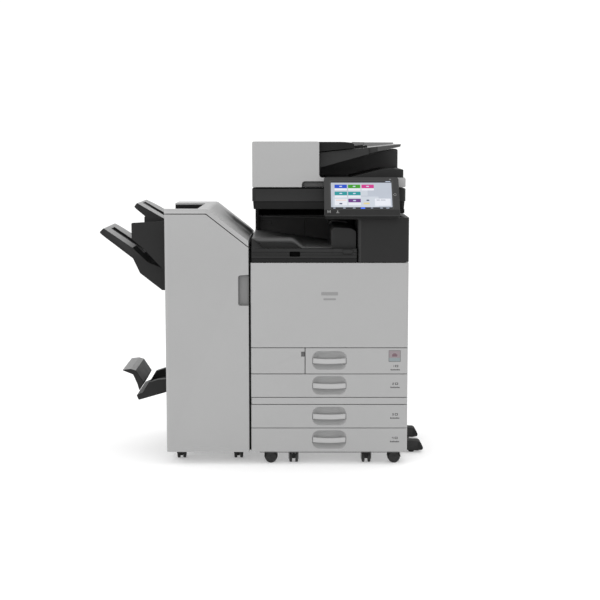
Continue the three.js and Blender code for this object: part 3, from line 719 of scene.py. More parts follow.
def swept_corner(left):
    """The rail's left end curves up and back to the height of the paper bed."""
    columns = []
    for i in range(19):
        x = left + 62 * i / 18
        lift = (1 - smooth(i / 18)) ** 1.4
        column = []
        for j in range(15):
            y = 4 + 36 * j / 14
            rise = smooth((y - 14 + 10 * lift) / 24)
            column.append((x, y, RAIL_TOP + 0.4 + (bed_height(x, 0) - RAIL_TOP - 1) * rise * lift))
        columns.append(column)
    piece("exit_tray_corner", "cabinet", sheet(columns, 8), "dark", 0)


def bridge_block():
    body = prism("y", [
        (7, 814), (99, 814), (99, 880, 10), (78, 892, 24), (22, 895, 16), (14, 894, 6), (7, 884, 6),
    ], 21, 332, 10)
    # Painted light: the left-facing side takes the lightened charcoal, as if lit from the left.
    two_tone(body, lambda n, c: n.x < -0.9)
    piece("bridge_block", "cabinet", body, ["dark", "cavity"], 2.6)
    for k, tone in enumerate(("gloss", "deep", "gloss")):
        left, near = 6 - k * 3, 334 + k * 46
        band = prism("y", [
            (left, 880), (101, 868), (101, 882 + k * 14, 10),
            (70, 900 + k * 15, 40), (left, 904 + k * 14, 10),
        ], near, near + 38, 10)
        piece(f"exit_band_{k + 1}", "cabinet", band, tone, 1.5)


CAVITY = (-276, 104)            # the space above the exit tray, along X


def cavity_walls():
    back = block(*CAVITY, 494, 499.6, 798, 956)
    seam = block(-92, -88, 490, 496, 800, 960)
    cap = plate("y", -268, -226, 876, 891, 2, 491, 497, 3)
    # The back wall takes the lightened charcoal as painted light.
    piece("cavity_back_wall", "cabinet", cut(back, seam), "cavity", 0.8)
    shade = block(*CAVITY, 488, 493.6, 914, 956)
    piece("cavity_shade", "cabinet", shade, "shade_black", 0.8)
    # The plate also takes the lightened charcoal as painted light.
    piece("cavity_back_plate", "cabinet", cap, "cavity", 0.8)
    # Painted light: the rim is painted lighter than its shaded surroundings, standing in for light along
    # its edge.
    rim = prism("y", [(-286, 907), (103, 898), (103, 903), (-286, 912)], 482, 494.5)
    piece("cavity_rim_painted_light", "cabinet", rim, "slit", 0.5)
    post = block(-289, -276.4, 440, 500, 846, Span("scanner_unit").z1 - 70)
    piece("cavity_left_post", "cabinet", post, "deep", 1)


# ---------------------------------------------------------------- scanner and operation panel
WINDOW = (-206, 236, 160, 460)  # the glazed opening in plan
LEDGE = (-215, 245, 150, 470)   # the ledge around it that holds the glass


def scanner():
    body = Span("scanner_unit")
    case = Span("scan_carriage", "platen_glass")
    x0, x1, y0, y1, top = body.x0, body.x1, 95, body.y1, body.z1
    low, step = top - 76.7, top - 47
    upper = prism("z", [(x0, y0, 16), (x1, y0, 16), (x1, y1, 6), (x0, y1, 6)], step, top)
    rings = []
    for side, front, back, radius, z in ((5, 10, 3, 12, low), (3, 3, 2, 14, step - 1)):
        left, right, near, far = x0 + side, x1 - side, y0 + front, y1 - back
        outline = [(left, near, radius), (right, near, radius), (right, far, 6), (left, far, 6)]
        rings.append((rounded(outline), z))
    lower = loft("z", rings)
    well = block(*WINDOW, low + 10, top + 5)
    well_low = block(*WINDOW, low + 10, step + 10)
    ledge = block(*LEDGE, top - 4, top + 5)
    piece("scanner_upper", "cabinet", cut(upper, well, ledge), "dark", 2.2, ["scanner_unit"])
    piece("scanner_lower", "cabinet", cut(lower, well_low), "deep", 2.0)
    # Painted shade: a near-black strip in the gap under the feeder, standing in for the dark interior.
    seal = block(x0 + 5, 112, y0 + 4, y0 + 10, top - 0.4, top + 3.6)
    piece("scanner_front_seal", "cabinet", seal, "shade_black", 0.5)
    rim = prism("x", [(100, low - 15, 4), (126, low - 15), (126, low + 1), (100, low + 1)], 112, x1 - 4)
    piece("scanner_right_rim", "cabinet", rim, "deep", 1.5)
    carry("platen_glass", "glass", 0.3)
    carry("scan_carriage", "black", 1.5)
    strips = [block(a, b, 172, 448, case.z0 + 44, case.z0 + 46) for a, b in ((-178, -172), (-186, -182))]
    piece("carriage_lamp", "scan_carriage", strips, "sheet", 0.3)
    scale = block(-215, 245, 143, 148, top - 1, top - 0.2)
    piece("platen_scale", "cabinet", scale, "light", 0.1)
    ticks = [block(x, x + 1, 143.5, 147.5 if k % 5 == 0 else 145.5, top - 0.6, top - 0.05)
             for k, x in enumerate(range(-214, 244, 10))]
    piece("platen_scale_ticks", "cabinet", ticks, "ink", 0)
    arm = join(
        prism("x", [(22, 955), (103, low + 2), (103, low + 30), (22, 969)], 92, 144),
        rod("x", 9, 92, 144, 22, 962),
    )
    piece("panel_arm", "cabinet", arm, "black", 1.5)


class Panel:
    """The tilting panel's own frame: u along X, v up its face, w out of the face."""

    box = Span("operation_panel")
    length = 185.5
    thickness = 19
    lean = math.radians(42)
    foot = (box.y0, 940)

    @classmethod
    def lay(cls, obj):
        """Moves a shape modelled upright (u, w, v) at Y = Z = 0 onto the leaned face."""
        turn = Matrix.Rotation(-cls.lean, 4, "X")
        here = Matrix.Translation(at(0, cls.foot[0], cls.foot[1]))
        obj.data.transform(here @ turn @ Matrix.Translation(-ORIGIN))
        return obj

    @classmethod
    def tile(cls, u0, u1, v0, v1, radius=0.0, lift=0.0, thick=0.3):
        return cls.lay(plate("y", u0, u1, v0, v1, radius, -lift, -lift + thick, 5))


def panel():
    box = Panel.box
    shell = plate("y", box.x0, box.x1, 0, Panel.length, 9, 2.2, Panel.thickness)
    front = plate("y", box.x0, box.x1, 0, Panel.length, 9, 0, 2.0)
    body = Panel.lay(shell)
    y, z = 22, 962
    ears = []
    for x in (74, 144.5):
        side = [(y - 7, z - 5), (y + 6, z + 6), (y - 4, z + 24), (y - 22, z + 6)]
        ears += [rod("x", 9, x, x + 17, y, z), prism("x", side, x, x + 17)]
    piece("panel_shell", "operation_panel", join(body, *ears), "black", 2.5, ["operation_panel"])
    piece("panel_face", "operation_panel", Panel.lay(front), "bezel", 0.8)
    strip = Panel.tile(box.x0 + 2, box.x1 - 2, 3, 30, 3, 0.1)
    piece("panel_lower_strip", "operation_panel", strip, "black", 0.1)
    piece("panel_screen_border", "operation_panel", Panel.tile(-0.5, 235, 32, 169, 2, 0.25), "gloss", 0.1)
    screen_tiles()
    ring = cut(rod("y", 5.6, -0.7, 0.5, 241, 101, 28), rod("y", 4.4, -1, 0.8, 241, 101, 28))
    piece("panel_sensor_ring", "operation_panel", Panel.lay(ring), "mark", 0.1)
    disc = lathe("y", [(0, -0.5), (4.2, -0.4), (4.6, 0.2), (0, 0.3)], 241, 101, 28)
    piece("panel_sensor", "operation_panel", Panel.lay(disc), "gloss", 0)
    marks = [Panel.tile(u0, u1, v0, v1, 0, 0.15) for u0, u1, v0, v1 in (
        (-9, -6.6, 15, 27), (-4.6, -2.6, 17, 25), (-0.6, 1.8, 15, 27),
        (22, 34, 14.5, 16.5), (26.5, 29.5, 17, 26), (223, 229, 173.5, 176.5),
    )]
    piece("panel_marks", "operation_panel", marks, "mark", 0)
    back = Panel.thickness
    vents = [Panel.lay(block(u, u + 3, back - 0.6, back + 0.5, 120, 160)) for u in range(30, 210, 8)]
    piece("panel_back_vents", "operation_panel", vents, "deep", 0.2)


LEFT_TILE, MIDDLE_TILE, RIGHT_TILE = (18, 64), (68, 114), (118, 164)    # the screen's columns, as u0, u1
SCREEN = (4.5, 229.5)           # its whole width
BUTTON_ROWS = (138, 143), (104, 109), (70, 75)
STATUS_MARKS = (12, 20), (48, 58), (84, 94), (150, 158), (184, 194), (206, 218)


def screen_tiles():
    """Each tone of the lit screen: its colour, its patches (u0, u1, v0, v1) and how far they stand out."""
    tones = {
        "screen_paper": (colour(0.74, 0.765, 0.81), [(*SCREEN, 41.5, 158.5)], 0.35),
        "screen_glare": (colour(0.80, 0.825, 0.86), [(12, 180, 42, 92), (70, 140, 96, 150)], 0.40),
        "screen_band": (colour(0.14, 0.15, 0.17), [(*SCREEN, 158.5, 165.5), (*SCREEN, 34, 41.5)], 0.36),
        "screen_blue": (colour(0.10, 0.30, 0.78), [(*LEFT_TILE, 132, 149)], 0.5),
        "screen_green": (colour(0.22, 0.60, 0.10), [(*MIDDLE_TILE, 132, 149)], 0.5),
        "screen_magenta": (colour(0.80, 0.20, 0.54), [(*RIGHT_TILE, 132, 149)], 0.5),
        "screen_teal": (colour(0.14, 0.58, 0.60), [(*LEFT_TILE, 98, 115), (*MIDDLE_TILE, 98, 115)], 0.5),
        "screen_violet": (colour(0.42, 0.22, 0.52), [(*MIDDLE_TILE, 64.5, 81)], 0.5),
        "screen_white": (colour(0.90, 0.91, 0.94), [
            (*LEFT_TILE, 51, 81), (*MIDDLE_TILE, 51, 63),
            *((*tile, 121, 131) for tile in (LEFT_TILE, MIDDLE_TILE, RIGHT_TILE)),
            (*LEFT_TILE, 87, 97), (*MIDDLE_TILE, 87, 97), (166, 224, 48, 82),
        ], 0.48),
        "screen_peach": (colour(0.93, 0.72, 0.60), [(22, 60, 73.5, 76)], 0.6),
        "screen_icon": (colour(0.30, 0.34, 0.45), [
            (35, 46, 55, 61), (135, 145, 71, 77), (172, 184, 74, 76), (188, 205, 74, 76),
        ], 0.6),
        "screen_lamp": (colour(0.88, 0.82, 0.60), [(124, 146, 55, 63)], 0.55),
        "screen_spark": (colour(0.80, 0.84, 0.92), [
            *((u, u + 10, *BUTTON_ROWS[0]) for u in (36, 86, 136)),
            *((u, u + 10, *BUTTON_ROWS[1]) for u in (36, 86)),
            (86, 96, *BUTTON_ROWS[2]),
            *((*mark, 36, 38.5) for mark in STATUS_MARKS),
            (208, 226, 162, 165),
        ], 0.62),
        "screen_glow": (colour(0.25, 0.45, 0.98), [(113, 129, 34.5, 39.5)], 0.6),
    }
    for name, (tone, spots, lift) in tones.items():
        strength = 1.4 if name == "screen_glow" else 1
        PAINTS[name] = (lit(name, tone, strength), "black_plastic")
        pieces = [Panel.tile(*spot, min(2.0, (spot[3] - spot[2]) / 4), lift, 0.1) for spot in spots]
        piece(name, "operation_panel", pieces, name, 0)


# ---------------------------------------------------------------- document feeder
TRAY_SLOPE = 32 / 303


def tray_top(x):
    return 1169 + (x + 30) * TRAY_SLOPE


LID_TOP = 1075                  # the flat top of the feeder's lower half
FEED_SHAFTS = ((-210, 1132), (-110, 1136))


def feeder():
    box = Span("feeder_base", "feeder_front_cover", "feed_cover")
    front = Span("feeder_front_cover")
    split = Span("feed_cover").x1
    x0, x1, y0, y1 = front.x0, front.x1, front.y0, box.y1
    face = prism("y", [
        (x0, front.z0, 3), (x1, front.z0, 4), (x1, LID_TOP, 6),
        (split, LID_TOP, 13), (split, front.z1, 6), (x0, front.z1, 6),
    ], y0, front.y1, 10)
    scoop_front = rounded([(-103, 1030), (70, 1030), (70, 1062, 4), (-103, 1062, 12)], 6)
    scoop_back = rounded([(-98, 1030), (66, 1030), (66, 1056, 4), (-98, 1056, 10)], 6)
    scoop = loft("y", [(scoop_front, y0 - 3), (scoop_front, y0 + 1), (scoop_back, y0 + 17)])
    skin = cut(face, scoop)
    # Painted shade: the scoop's inner faces take the darker slit grey.
    two_tone(skin, lambda n, c: -104 < c.x < 71 and 1029 < c.z < 1063 and y0 + 0.4 < c.y < front.y1 - 1)
    piece("feeder_front_skin", "feeder", skin, ["light", "slit"], 2.0, ["feeder_front_cover"])
    # The liner at the back of the scoop is painted dark as shade in the recess.
    liner = prism("y", [(-97, 1042), (65, 1042), (65, 1055), (-97, 1055, 8)], y0 + 16, y0 + 19)
    piece("feeder_grip_liner", "feeder", liner, "slit", 1)
    cover = Span("feed_cover")
    side = [(x0, cover.z0), (split, cover.z0), (split, cover.z1, 6), (x0, cover.z1, 6)]
    shell = prism("y", side, cover.y0, cover.y1)
    hollow = block(x0 + 4, split - 4, cover.y0 + 4, cover.y1 - 4, 1100, cover.z1 - 4)
    vent_slots = [block(x, x + 6, cover.y1 - 6, cover.y1 + 2, 1150, 1185) for x in range(-240, -72, 12)]
    piece("feed_cover_skin", "feed_cover", cut(shell, hollow, *vent_slots), "light", 2.0, ["feed_cover"])
    ribs = [block(x0 + 6, split - 6, y - 1, y + 1, cover.z1 - 16, cover.z1 - 3.8)
            for y in range(170, 600, 50)]
    piece("feed_cover_ribs", "feed_cover", ribs, "light", 0.3)
    pickup()
    feeder_lid(y0, y1)
    document_tray()
    feed_rollers()


def pickup():
    box = Span("pickup_cover")
    top = box.z1 - 0.2
    hood = prism("y", [
        (box.x0, 1171.5), (94, 1185.5, 2), (95, 1199, 4), (84, 1206, 12), (60, top, 30), (box.x0, top),
    ], box.y0, box.y1, 10)
    piece("pickup_hood", "feed_cover", hood, "deep", 1.6, ["pickup_cover"])
    grip = plate("y", -14, 26, box.z1 - 0.6, box.z1 + 0.1, 0.2, box.y0 + 40, box.y0 + 120, 3)
    piece("pickup_grip", "feed_cover", grip, "dark", 0.1)


def feeder_lid(y0, y1):
    base = Span("feeder_base")
    lid = prism("y", [
        (base.x0, base.z0), (base.x1 - 1, base.z0), (base.x1 - 1, 1106, 5), (207, 1108, 40),
        (75, LID_TOP + 0.5, 40), (-34, LID_TOP), (-34, 1118), (base.x0, 1118),
    ], base.y0, base.y1, 10)
    piece("feeder_lid", "feeder", lid, "dark", 2.2, ["feeder_base"])
    right = base.x1 - 0.5
    wall = prism("y", [(-36, 1070), (right, 1070), (right, 1182, 8), (150, 1162), (-36, 1147)], 442, y1, 10)
    # The back wall takes the lightened charcoal as painted light.
    piece("feeder_back_wall", "feeder", wall, "cavity", 2)
    inner, outer, near, far = base.x1 - 0.6, Span("feeder_front_cover").x1, y0 + 34, y1 - 2
    # Painted light: the end strip takes a brighter grey, making up for the shade the panel casts on it.
    end_piece = prism("z", [(inner, near), (outer, near), (outer, far, 5), (inner, far)], 1044, LID_TOP)
    piece("feeder_end_strip", "feeder", end_piece, "bright", 1.2)
    pad = plate("z", -214, 244, 151, 469, 3, base.z0 - 3.4, base.z0 - 0.1, 4)
    piece("platen_sheet", "feeder", pad, "sheet", 0.3)
    ribs = [block(-10, 258, y - 1.2, y + 1.2, LID_TOP + 0.5, LID_TOP + 2.2) for y in range(200, 460, 36)]
    piece("exit_pocket_ribs", "feeder", ribs, "dark", 0.5)


FLAP_NEAR, FLAP_FAR = 165, 572


def document_tray():
    """The sloping bed with its deep front wall, and the hinged flap that lengthens it."""
    left, seam, low = -34, 150, 1163
    slab = [(left, 1148.4), (seam, low + 0.4), (seam, tray_top(seam), 1), (left, tray_top(left))]
    bed = prism("y", slab, 150, 600)
    apron = prism("y", [(left, 1112, 2), (seam, low), (seam, low + 3), (left, 1152)], 150, 175)
    well = tray_slot(left - 5, seam + 5, 5, 182, 570)
    carved = cut(join(bed, apron), well)
    two_tone(carved, lambda n, c: n.z > 0.8)
    piece("document_tray_bed", "feeder", carved, ["lifted", "tray"], 1.2, ["document_tray"])
    fence = prism("y", [
        (40, tray_top(40)), (seam, tray_top(seam)), (seam, 1194), (seam + 3, 1194), (seam + 3, 1207),
        (104, 1208, 2), (96, 1196, 4), (40, 1190),
    ], 574, 598)
    piece("document_tray_fence", "feeder", fence, "mid", 1)
    tip, root_low, tip_low = 183, 1171.6, 1190.8
    root = prism("y", [
        (seam + 1, low + 1), (tip, root_low), (tip, tray_top(tip)), (seam + 1, tray_top(seam + 1)),
    ], FLAP_NEAR, FLAP_FAR)
    two_tone(root, lambda n, c: n.z > 0.8)
    piece("document_flap_root", "document_tray_flap", root, ["lifted", "mid"], 1, ["document_tray_flap"])
    flap = prism("y", [
        (tip + 0.4, root_low + 0.1), (270, tip_low, 2),
        (273, tray_top(273) - 0.3, 2.2), (tip + 0.4, tray_top(tip + 0.4)),
    ], FLAP_NEAR, FLAP_FAR)
    recess = prism("y", [
        (tip + 5, tray_top(tip) - 4), (250, tray_top(250) - 4), (250, 1240), (tip + 5, 1240),
    ], 330, 420)
    carved_flap = cut(flap, recess)
    two_tone(carved_flap, lambda n, c: n.z > 0.8)
    piece("document_flap", "document_tray_flap", carved_flap, ["tip", "mid"], 1.2)
    stop = prism("y", [
        (seam + 1.5, tray_top(seam) - 3), (271, tray_top(271) - 3), (271, 1206, 2), (seam + 1.5, 1206.5, 1),
    ], 562, 569)
    piece("document_flap_stop", "document_tray_flap", stop, "mid", 0.8)
    for side, wall_low, wall_high in (("front", 0, 2.4), ("rear", 5.6, 8)):
        node = f"document_guide_{side}"
        guide = Span(node)
        foot = sloping_bar(0.4, 2.2, 0, guide.y0, guide.y1)
        wall = sloping_bar(0.5, 8.6, 3, guide.y0 + wall_low, guide.y0 + wall_high)
        piece(f"document_guide_{side}_fin", node, join(foot, wall), "black", 0.6, [node])


def tray_slot(x0, x1, depth, y0, y1):
    """A cutter that hollows the tray to a depth under its sloping top."""
    open_z = 1240
    return prism("y", [
        (x0, tray_top(x0) - depth), (x1, tray_top(x1) - depth), (x1, open_z), (x0, open_z),
    ], y0, y1)


def sloping_bar(low, high, radius, y0, y1):
    """A bar of a side guide, that far above the sloping tray."""
    left, right = 98, 146
    return prism("y", [
        (left, tray_top(left) + low), (right, tray_top(right) + low),
        (right, tray_top(right) + high, radius), (left, tray_top(left) + high, radius),
    ], y0, y1)


def feed_rollers():
    """The rollers and guide plates under the feed cover."""
    shafts = [rod("y", 4, 145, 600, x, z) for x, z in FEED_SHAFTS]
    piece("feed_shafts", "feeder", shafts, "steel", 0)
    rollers = []
    for y in range(190, 570, 60):
        profile = [(0, y - 15), (10, y - 15), (11, y - 14), (11, y + 14), (10, y + 15), (0, y + 15)]
        rollers += [lathe("y", profile, x, z, 28) for x, z in FEED_SHAFTS]
    piece("feed_rollers", "feeder", rollers, "tread", 0)
    path = block(-278, -44, 145, 600, 1118.2, 1120)
    piece("feed_path_plate", "feeder", path, "steel", 0.4)


# ---------------------------------------------------------------- paper drawers
POCKET_HALF, POCKET_HEIGHT, POCKET_RADIUS = 64.5, 71, 27    # the hand pocket behind each grip
BOWED_HALF = 62                 # half of the grip's bowed length


def drawer_scoop(z0):
    """The hand pocket, a bowl that narrows towards its back."""
    rings = []
    for y, inset in ((-2, -0.6), (0.6, 0.2), (3, 1.4), (10, 4), (16, 9), (20, 15), (22, 22)):
        half, low, high = POCKET_HALF - inset, z0 + inset, z0 + POCKET_HEIGHT - inset
        radius = max(6, POCKET_RADIUS - inset * 0.6)
        rings.append((rounded(box_outline(-half, half, low, high, radius), 8), y))
    return loft("y", rings)


def drawer_grip(index, grip):
    half = (grip.z1 - grip.z0) / 2
    rings = []
    for k in range(17):
        x = -BOWED_HALF + k * BOWED_HALF / 8
        bow = 1 - (x / BOWED_HALF) ** 2
        low, high = grip.z - half - 2.6 * bow, grip.z + half - 3.6 * bow + 0.8
        outline = box_outline(grip.y0 - 1.6 * bow, grip.y1 - 1.6 * bow, low, high, 3.5)
        rings.append((rounded(outline, 5), x))
    bar = loft("x", rings)
    piece(f"drawer_{index}_grip_bar", f"paper_drawer_{index}", bar, "grip", 1.2, [f"drawer_grip_{index}"])
    # Painted shade: dark grey blocks at the bar's ends stand in for the shaded gaps beside the grip.
    end_shades = [block(x, x + 2.6, grip.y0 - 1, grip.y1 + 1, grip.z0 - 1, grip.z1 + 1)
             for x in (-64.4, 61.8)]
    piece(f"drawer_{index}_grip_end_shade", f"paper_drawer_{index}", end_shades, "slit", 0.6)


def drawer(index):
    node = f"paper_drawer_{index}"
    box, grip = Span(node), Span(f"drawer_grip_{index}")
    left = 1.5 if index == 1 else LEFT_CORNER
    front = plan_plate(box, box.x0, box.x1, 0, 34, left, CORNER)
    shape = cut(front, drawer_scoop(grip.z0 - 24))
    two_tone(shape, lambda n, c: abs(c.x) < 64.4 and 0.3 < c.y < 30)
    piece(f"drawer_{index}_front", node, shape, ["light", "pocket"], 1.0, [node])
    drawer_grip(index, grip)
    low, high = box.z0 + 8.5, box.z1 - 21
    x0, x1, y1 = (-83 if index == 1 else -262), 244, box.y1
    bin_body = block(x0, x1, 34, y1, low, high)
    inside = block(x0 + 3, x1 - 3, 37, y1 - 3, low + 3, high + 5)
    piece(f"drawer_{index}_bin", node, cut(bin_body, inside), "deep", 0.8)
    lift_plan = [(x0 + 12, 60), (x1 - 12, 60), (x1 - 12, 540, 8), (x0 + 12, 540, 8)]
    piece(f"drawer_{index}_lift_plate", node, prism("z", lift_plan, low + 5, low + 6.6), "steel", 0.3)
    sheets = block(x0 + 34, x1 - 26, 80, 520, low + 6.8, high - 16)
    piece(f"drawer_{index}_paper", node, sheets, "paper", 0.3)
    guides = [block(*plan, low + 6.8, high - 4) for plan in (
        (x0 + 30, x0 + 33.6, 200, 300), (x1 - 25.6, x1 - 22, 200, 300), (40, 110, 521, 525),
    )]
    piece(f"drawer_{index}_guides", node, guides, "lever", 0.6)
    rails = [block(x, x + 4.4, 44, y1 - 4, low + 10, low + 22) for x in (x0 - 4.6, x1 + 0.2)]
    piece(f"drawer_{index}_rails", node, rails, "steel", 0.5)
    size_marks(index, node)


DIGITS = {1: "bc", 2: "abged", 3: "abgcd", 4: "fgbc"}
SEGMENTS = {
    "a": (0, 5, 8.2, 9.2), "b": (4, 5, 4.6, 9.2), "c": (4, 5, 0, 4.6), "d": (0, 5, 0, 1),
    "e": (0, 1, 0, 4.6), "f": (0, 1, 4.6, 9.2), "g": (0, 5, 4.1, 5.1),
}
MARK_ROWS = {1: 373, 2: 306, 3: 189, 4: 99}


def size_marks(index, node):
    """The drawer's number with a sheet symbol, and a row of tick marks for the paper size."""
    z, strips = MARK_ROWS[index], []
    lift, sunk = -0.12, 0.3
    for key in DIGITS[index]:
        a0, a1, b0, b1 = SEGMENTS[key]
        strips.append(block(236 + a0, 236.6 + a1, lift, sunk, z + b0 * 0.8, z + b1 * 0.8 + 0.6))
    for a0, a1, b0, b1 in ((246, 257, 0, 1.8), (246, 257, 6.2, 8), (246, 248, 0, 8), (255, 257, 0, 8)):
        strips.append(block(a0, a1, lift, sunk, z + b0, z + b1))
    for k in range(9):
        high = z - (6.8 if k % 3 == 0 else 8)
        strips.append(block(229 + k * 3.9, 231.6 + k * 3.9, lift, sunk, z - 12.6, high))
    piece(f"drawer_{index}_marks", node, strips, "ink", 0)


def tray_sticker():
    node = "paper_drawer_1"
    x0, x1, z0, z1 = 221, 266, 393, 437
    piece("sticker_border", node, plate("y", x0, x1, z0, z1, 2, -0.3, 0.4, 4), "border", 0.1)
    piece("sticker_face", node, plate("y", x0 + 2, x1 - 2, z0 + 15, z1 - 2, 1, -0.4, 0.2, 3), "sticker", 0)
    lower = plate("y", x0 + 2, x1 - 2, z0 + 2, z0 + 15, 1, -0.4, 0.2, 3)
    piece("sticker_lower", node, lower, "sticker_low", 0)
    icon = [
        plate("y", x0 + 13, x1 - 13, z0 + 20, z0 + 29, 2, -0.5, 0.1, 4),
        plate("y", x0 + 17, x1 - 17, z0 + 29.2, z0 + 32, 1, -0.5, 0.1, 3),
    ]
    piece("sticker_icon", node, icon, "sticker_icon", 0)


# ---------------------------------------------------------------- casters and feet
def twin_wheel(node, axis):
    box = Span(node)
    radius = (box.z1 - box.z0) / 2
    middle, across = (box.x, box.y) if axis == "x" else (box.y, box.x)
    profile = [
        (0, 6), (radius - 1.5, 6), (radius, 7.5), (radius, 14.5), (radius - 2, 16.2),
        (radius - 6, 16.8), (radius - 7, 15), (6, 15), (5, 16.4), (0, 16.4),
    ]
    discs = [lathe(axis, [(r, middle + side * t) for r, t in profile], across, box.z, 40)
             for side in (-1, 1)]
    hub = rod(axis, 7, middle - 6.2, middle + 6.2, across, box.z)
    piece(f"{node}_tyre", node, [*discs, hub], "tread", 0, [node])


def caster_fork(node, turn):
    """The hood over the twin wheel, its web between the discs and its swivel stem."""
    wheel = Span(node.replace("_fork", "_wheel"))
    x, y, z = wheel.x, wheel.y, 22
    back = turn == "back"
    axis, middle, across = ("x", x, y) if back else ("y", y, x)
    low, high = middle - 17.5, middle + 17.5
    ring = cut(
        rod(axis, 25.6, low, high, across, z, 48),
        rod(axis, 23.2, low - 2, high + 2, across, z, 48),
        block(x - 60, x + 60, y - 60, y + 60, -20, 24),
    )
    web = cut(
        rod(axis, 24, middle - 5, middle + 5, across, z, 40),
        rod(axis, 7.6, middle - 20, middle + 20, across, z, 24),
        block(x - 7.6, x + 7.6, y - 7.6, y + 7.6, -20, 22),
        block(x - 60, x + 60, y - 60, y + 60, -20, 13),
    )
    offset = 16                 # from the stem back to the wheel
    stem_x, stem_y = (x, y - offset) if back else (x - offset, y)
    plan = (x - 9, x + 9, stem_y - 9, y + 2) if back else (stem_x - 9, x + 2, y - 9, y + 9)
    stem = cut(
        join(block(*plan, 28, 48), rod("z", 9, 36, 50.6, stem_x, stem_y, 32)),
        rod(axis, 23.2, low - 30, high + 30, across, z, 48),
    )
    body = node.replace("_fork", "_caster")
    piece(f"{node}_hood", body, join(ring, web, stem), "black", 0.8, [node])


def casters():
    for corner in ("front_left", "front_right", "rear_left", "rear_right"):
        for unit in ("bank", "finisher"):
            turned = unit == "bank" and corner.startswith("front")
            twin_wheel(f"{unit}_{corner}_wheel", "y" if turned else "x")
            caster_fork(f"{unit}_{corner}_fork", "right" if turned else "back")
    for side in ("left", "right"):
        twin_wheel(f"support_wheel_{side}", "x")
        wheel = Span(f"support_wheel_{side}")
        x, y, z = wheel.x, wheel.y, wheel.z
        web = cut(block(x - 5.4, x + 5.4, y - 17, y + 17, 17, 50), rod("x", 7.6, x - 20, x + 20, y, z))
        piece(f"support_bracket_{side}", "cabinet", web, "black", 0.8)
    strip = block(-262, 268, 2, 4.5, 46.4, 48.7)
    piece("bank_base_strip", "cabinet", strip, "slit", 0.3)


def feet():
    for end in ("front", "rear"):
        node = f"stabiliser_foot_{end}"
        box = Span(node)
        side = [
            (box.x0, 12), (350, 8, 8), (box.x1 - 2, 12, 4),
            (box.x1, 20, 5), (358, 46, 14), (box.x0, box.z1),
        ]
        body = prism("y", side, box.y0, box.y1, 8)
        profile = [(0, 0), (10, 0), (11, 1), (11, 9), (8, 13), (0, 13)]
        pad = lathe("z", profile, 327, box.y, 32)
        piece(f"{node}_shell", "cabinet", join(body, pad), "matte", 4, [node], 5)


# ---------------------------------------------------------------- finisher
FINISHER_DEPTH = 613
FLAT, KNEE = 963, -451          # height of the flat top, and where along X the slope starts
SLOPE_LOW, SLOPE_RIGHT = 845, -300.5    # height and place of the slope's foot
SLOPE = math.atan2(FLAT - SLOPE_LOW, SLOPE_RIGHT - KNEE)
COVER_THICKNESS = 16.6


def finisher_outline(x0, x1, inset, low):
    knee_x = KNEE - inset * math.tan(SLOPE / 2)
    end_z = FLAT - inset - (x1 - knee_x) * math.tan(SLOPE)
    return [(x0, low), (x1, low), (x1, end_z), (knee_x, FLAT - inset, 14), (x0, FLAT - inset)]


def finisher():
    door = Span("finisher_door")
    face = prism("y", finisher_outline(door.x0, door.x1, 20, door.z0), 0, door.y1)
    plan = [(door.x0, 0, 12), (door.x1, 0, 4), (door.x1, door.y1), (door.x0, door.y1)]
    body = combine("INTERSECT", face, [prism("z", plan, 0, 1000)])
    front_ring = rounded([(-340, 604, 8), (-290, 604), (-290, 721), (-340, 717, 8)], 6)
    back_ring = rounded([(-333, 606, 6), (-290, 606), (-290, 714), (-333, 712, 6)], 6)
    scoop = loft("y", [(front_ring, -4), (front_ring, 1), (back_ring, 15)])
    body = cut(body, scoop)
    # Painted shade: the pocket's inner faces take a darker paint, standing in for shade in the recess.
    two_tone(body, lambda n, c: -341 < c.x < -301.2 and 603 < c.z < 722 and 1 < c.y < 20 and n.y < 0.5)
    piece("finisher_door_skin", "finisher_door", body, ["light", "door_pocket"], 1.2, ["finisher_door"])
    ribs = [block(x, x + 2, door.y1 - 0.5, door.y1 + 6, 120, 790) for x in range(-570, -340, 44)]
    ribs += [block(-575, -340, door.y1 - 0.4, door.y1 + 5, z, z + 2) for z in range(180, 780, 100)]
    piece("finisher_door_ribs", "finisher_door", ribs, "light", 0.4)
    carry("finisher_frame", "frame", 1.0)
    finisher_rear()
    finisher_top()
    finisher_inside()
    finisher_trays()


def finisher_rear():
    """The finisher's back panel, with its seams, screws and a blanked cable opening."""
    back = Span("finisher_frame").y1
    heads = [rod("y", 4.6, back - 2.4, back - 0.5, x, z, 20) for x in (-590, -320) for z in (80, 430, 800)]
    piece("finisher_rear_screws", "cabinet", heads, "steel", 0.4)
    seams = [block(-606, -306, back - 1.3, back - 0.1, z, z + 1.6) for z in (110, 760)]
    piece("finisher_rear_seams", "cabinet", seams, "slit", 0)
    cap = plate("y", -400, -340, 180, 210, 5, back - 1.6, back - 0.2, 4)
    piece("finisher_cable_cap", "cabinet", cap, "mid", 0.4)


def slope_groove(x, y):
    """Depth of the scooped valley on the finisher's slope; it widens and deepens downwards."""
    t = (x + 440) / 132
    if not 0 < t < 1.02:
        return 0
    offset = y - 460 - 50 * t
    across = abs(offset) / (60 + 230 * t if offset < 0 else 16 + 26 * t)
    if across >= 1:
        return 0
    return 13 * smooth(t * 1.8) * (1 - across ** 2) ** 1.3


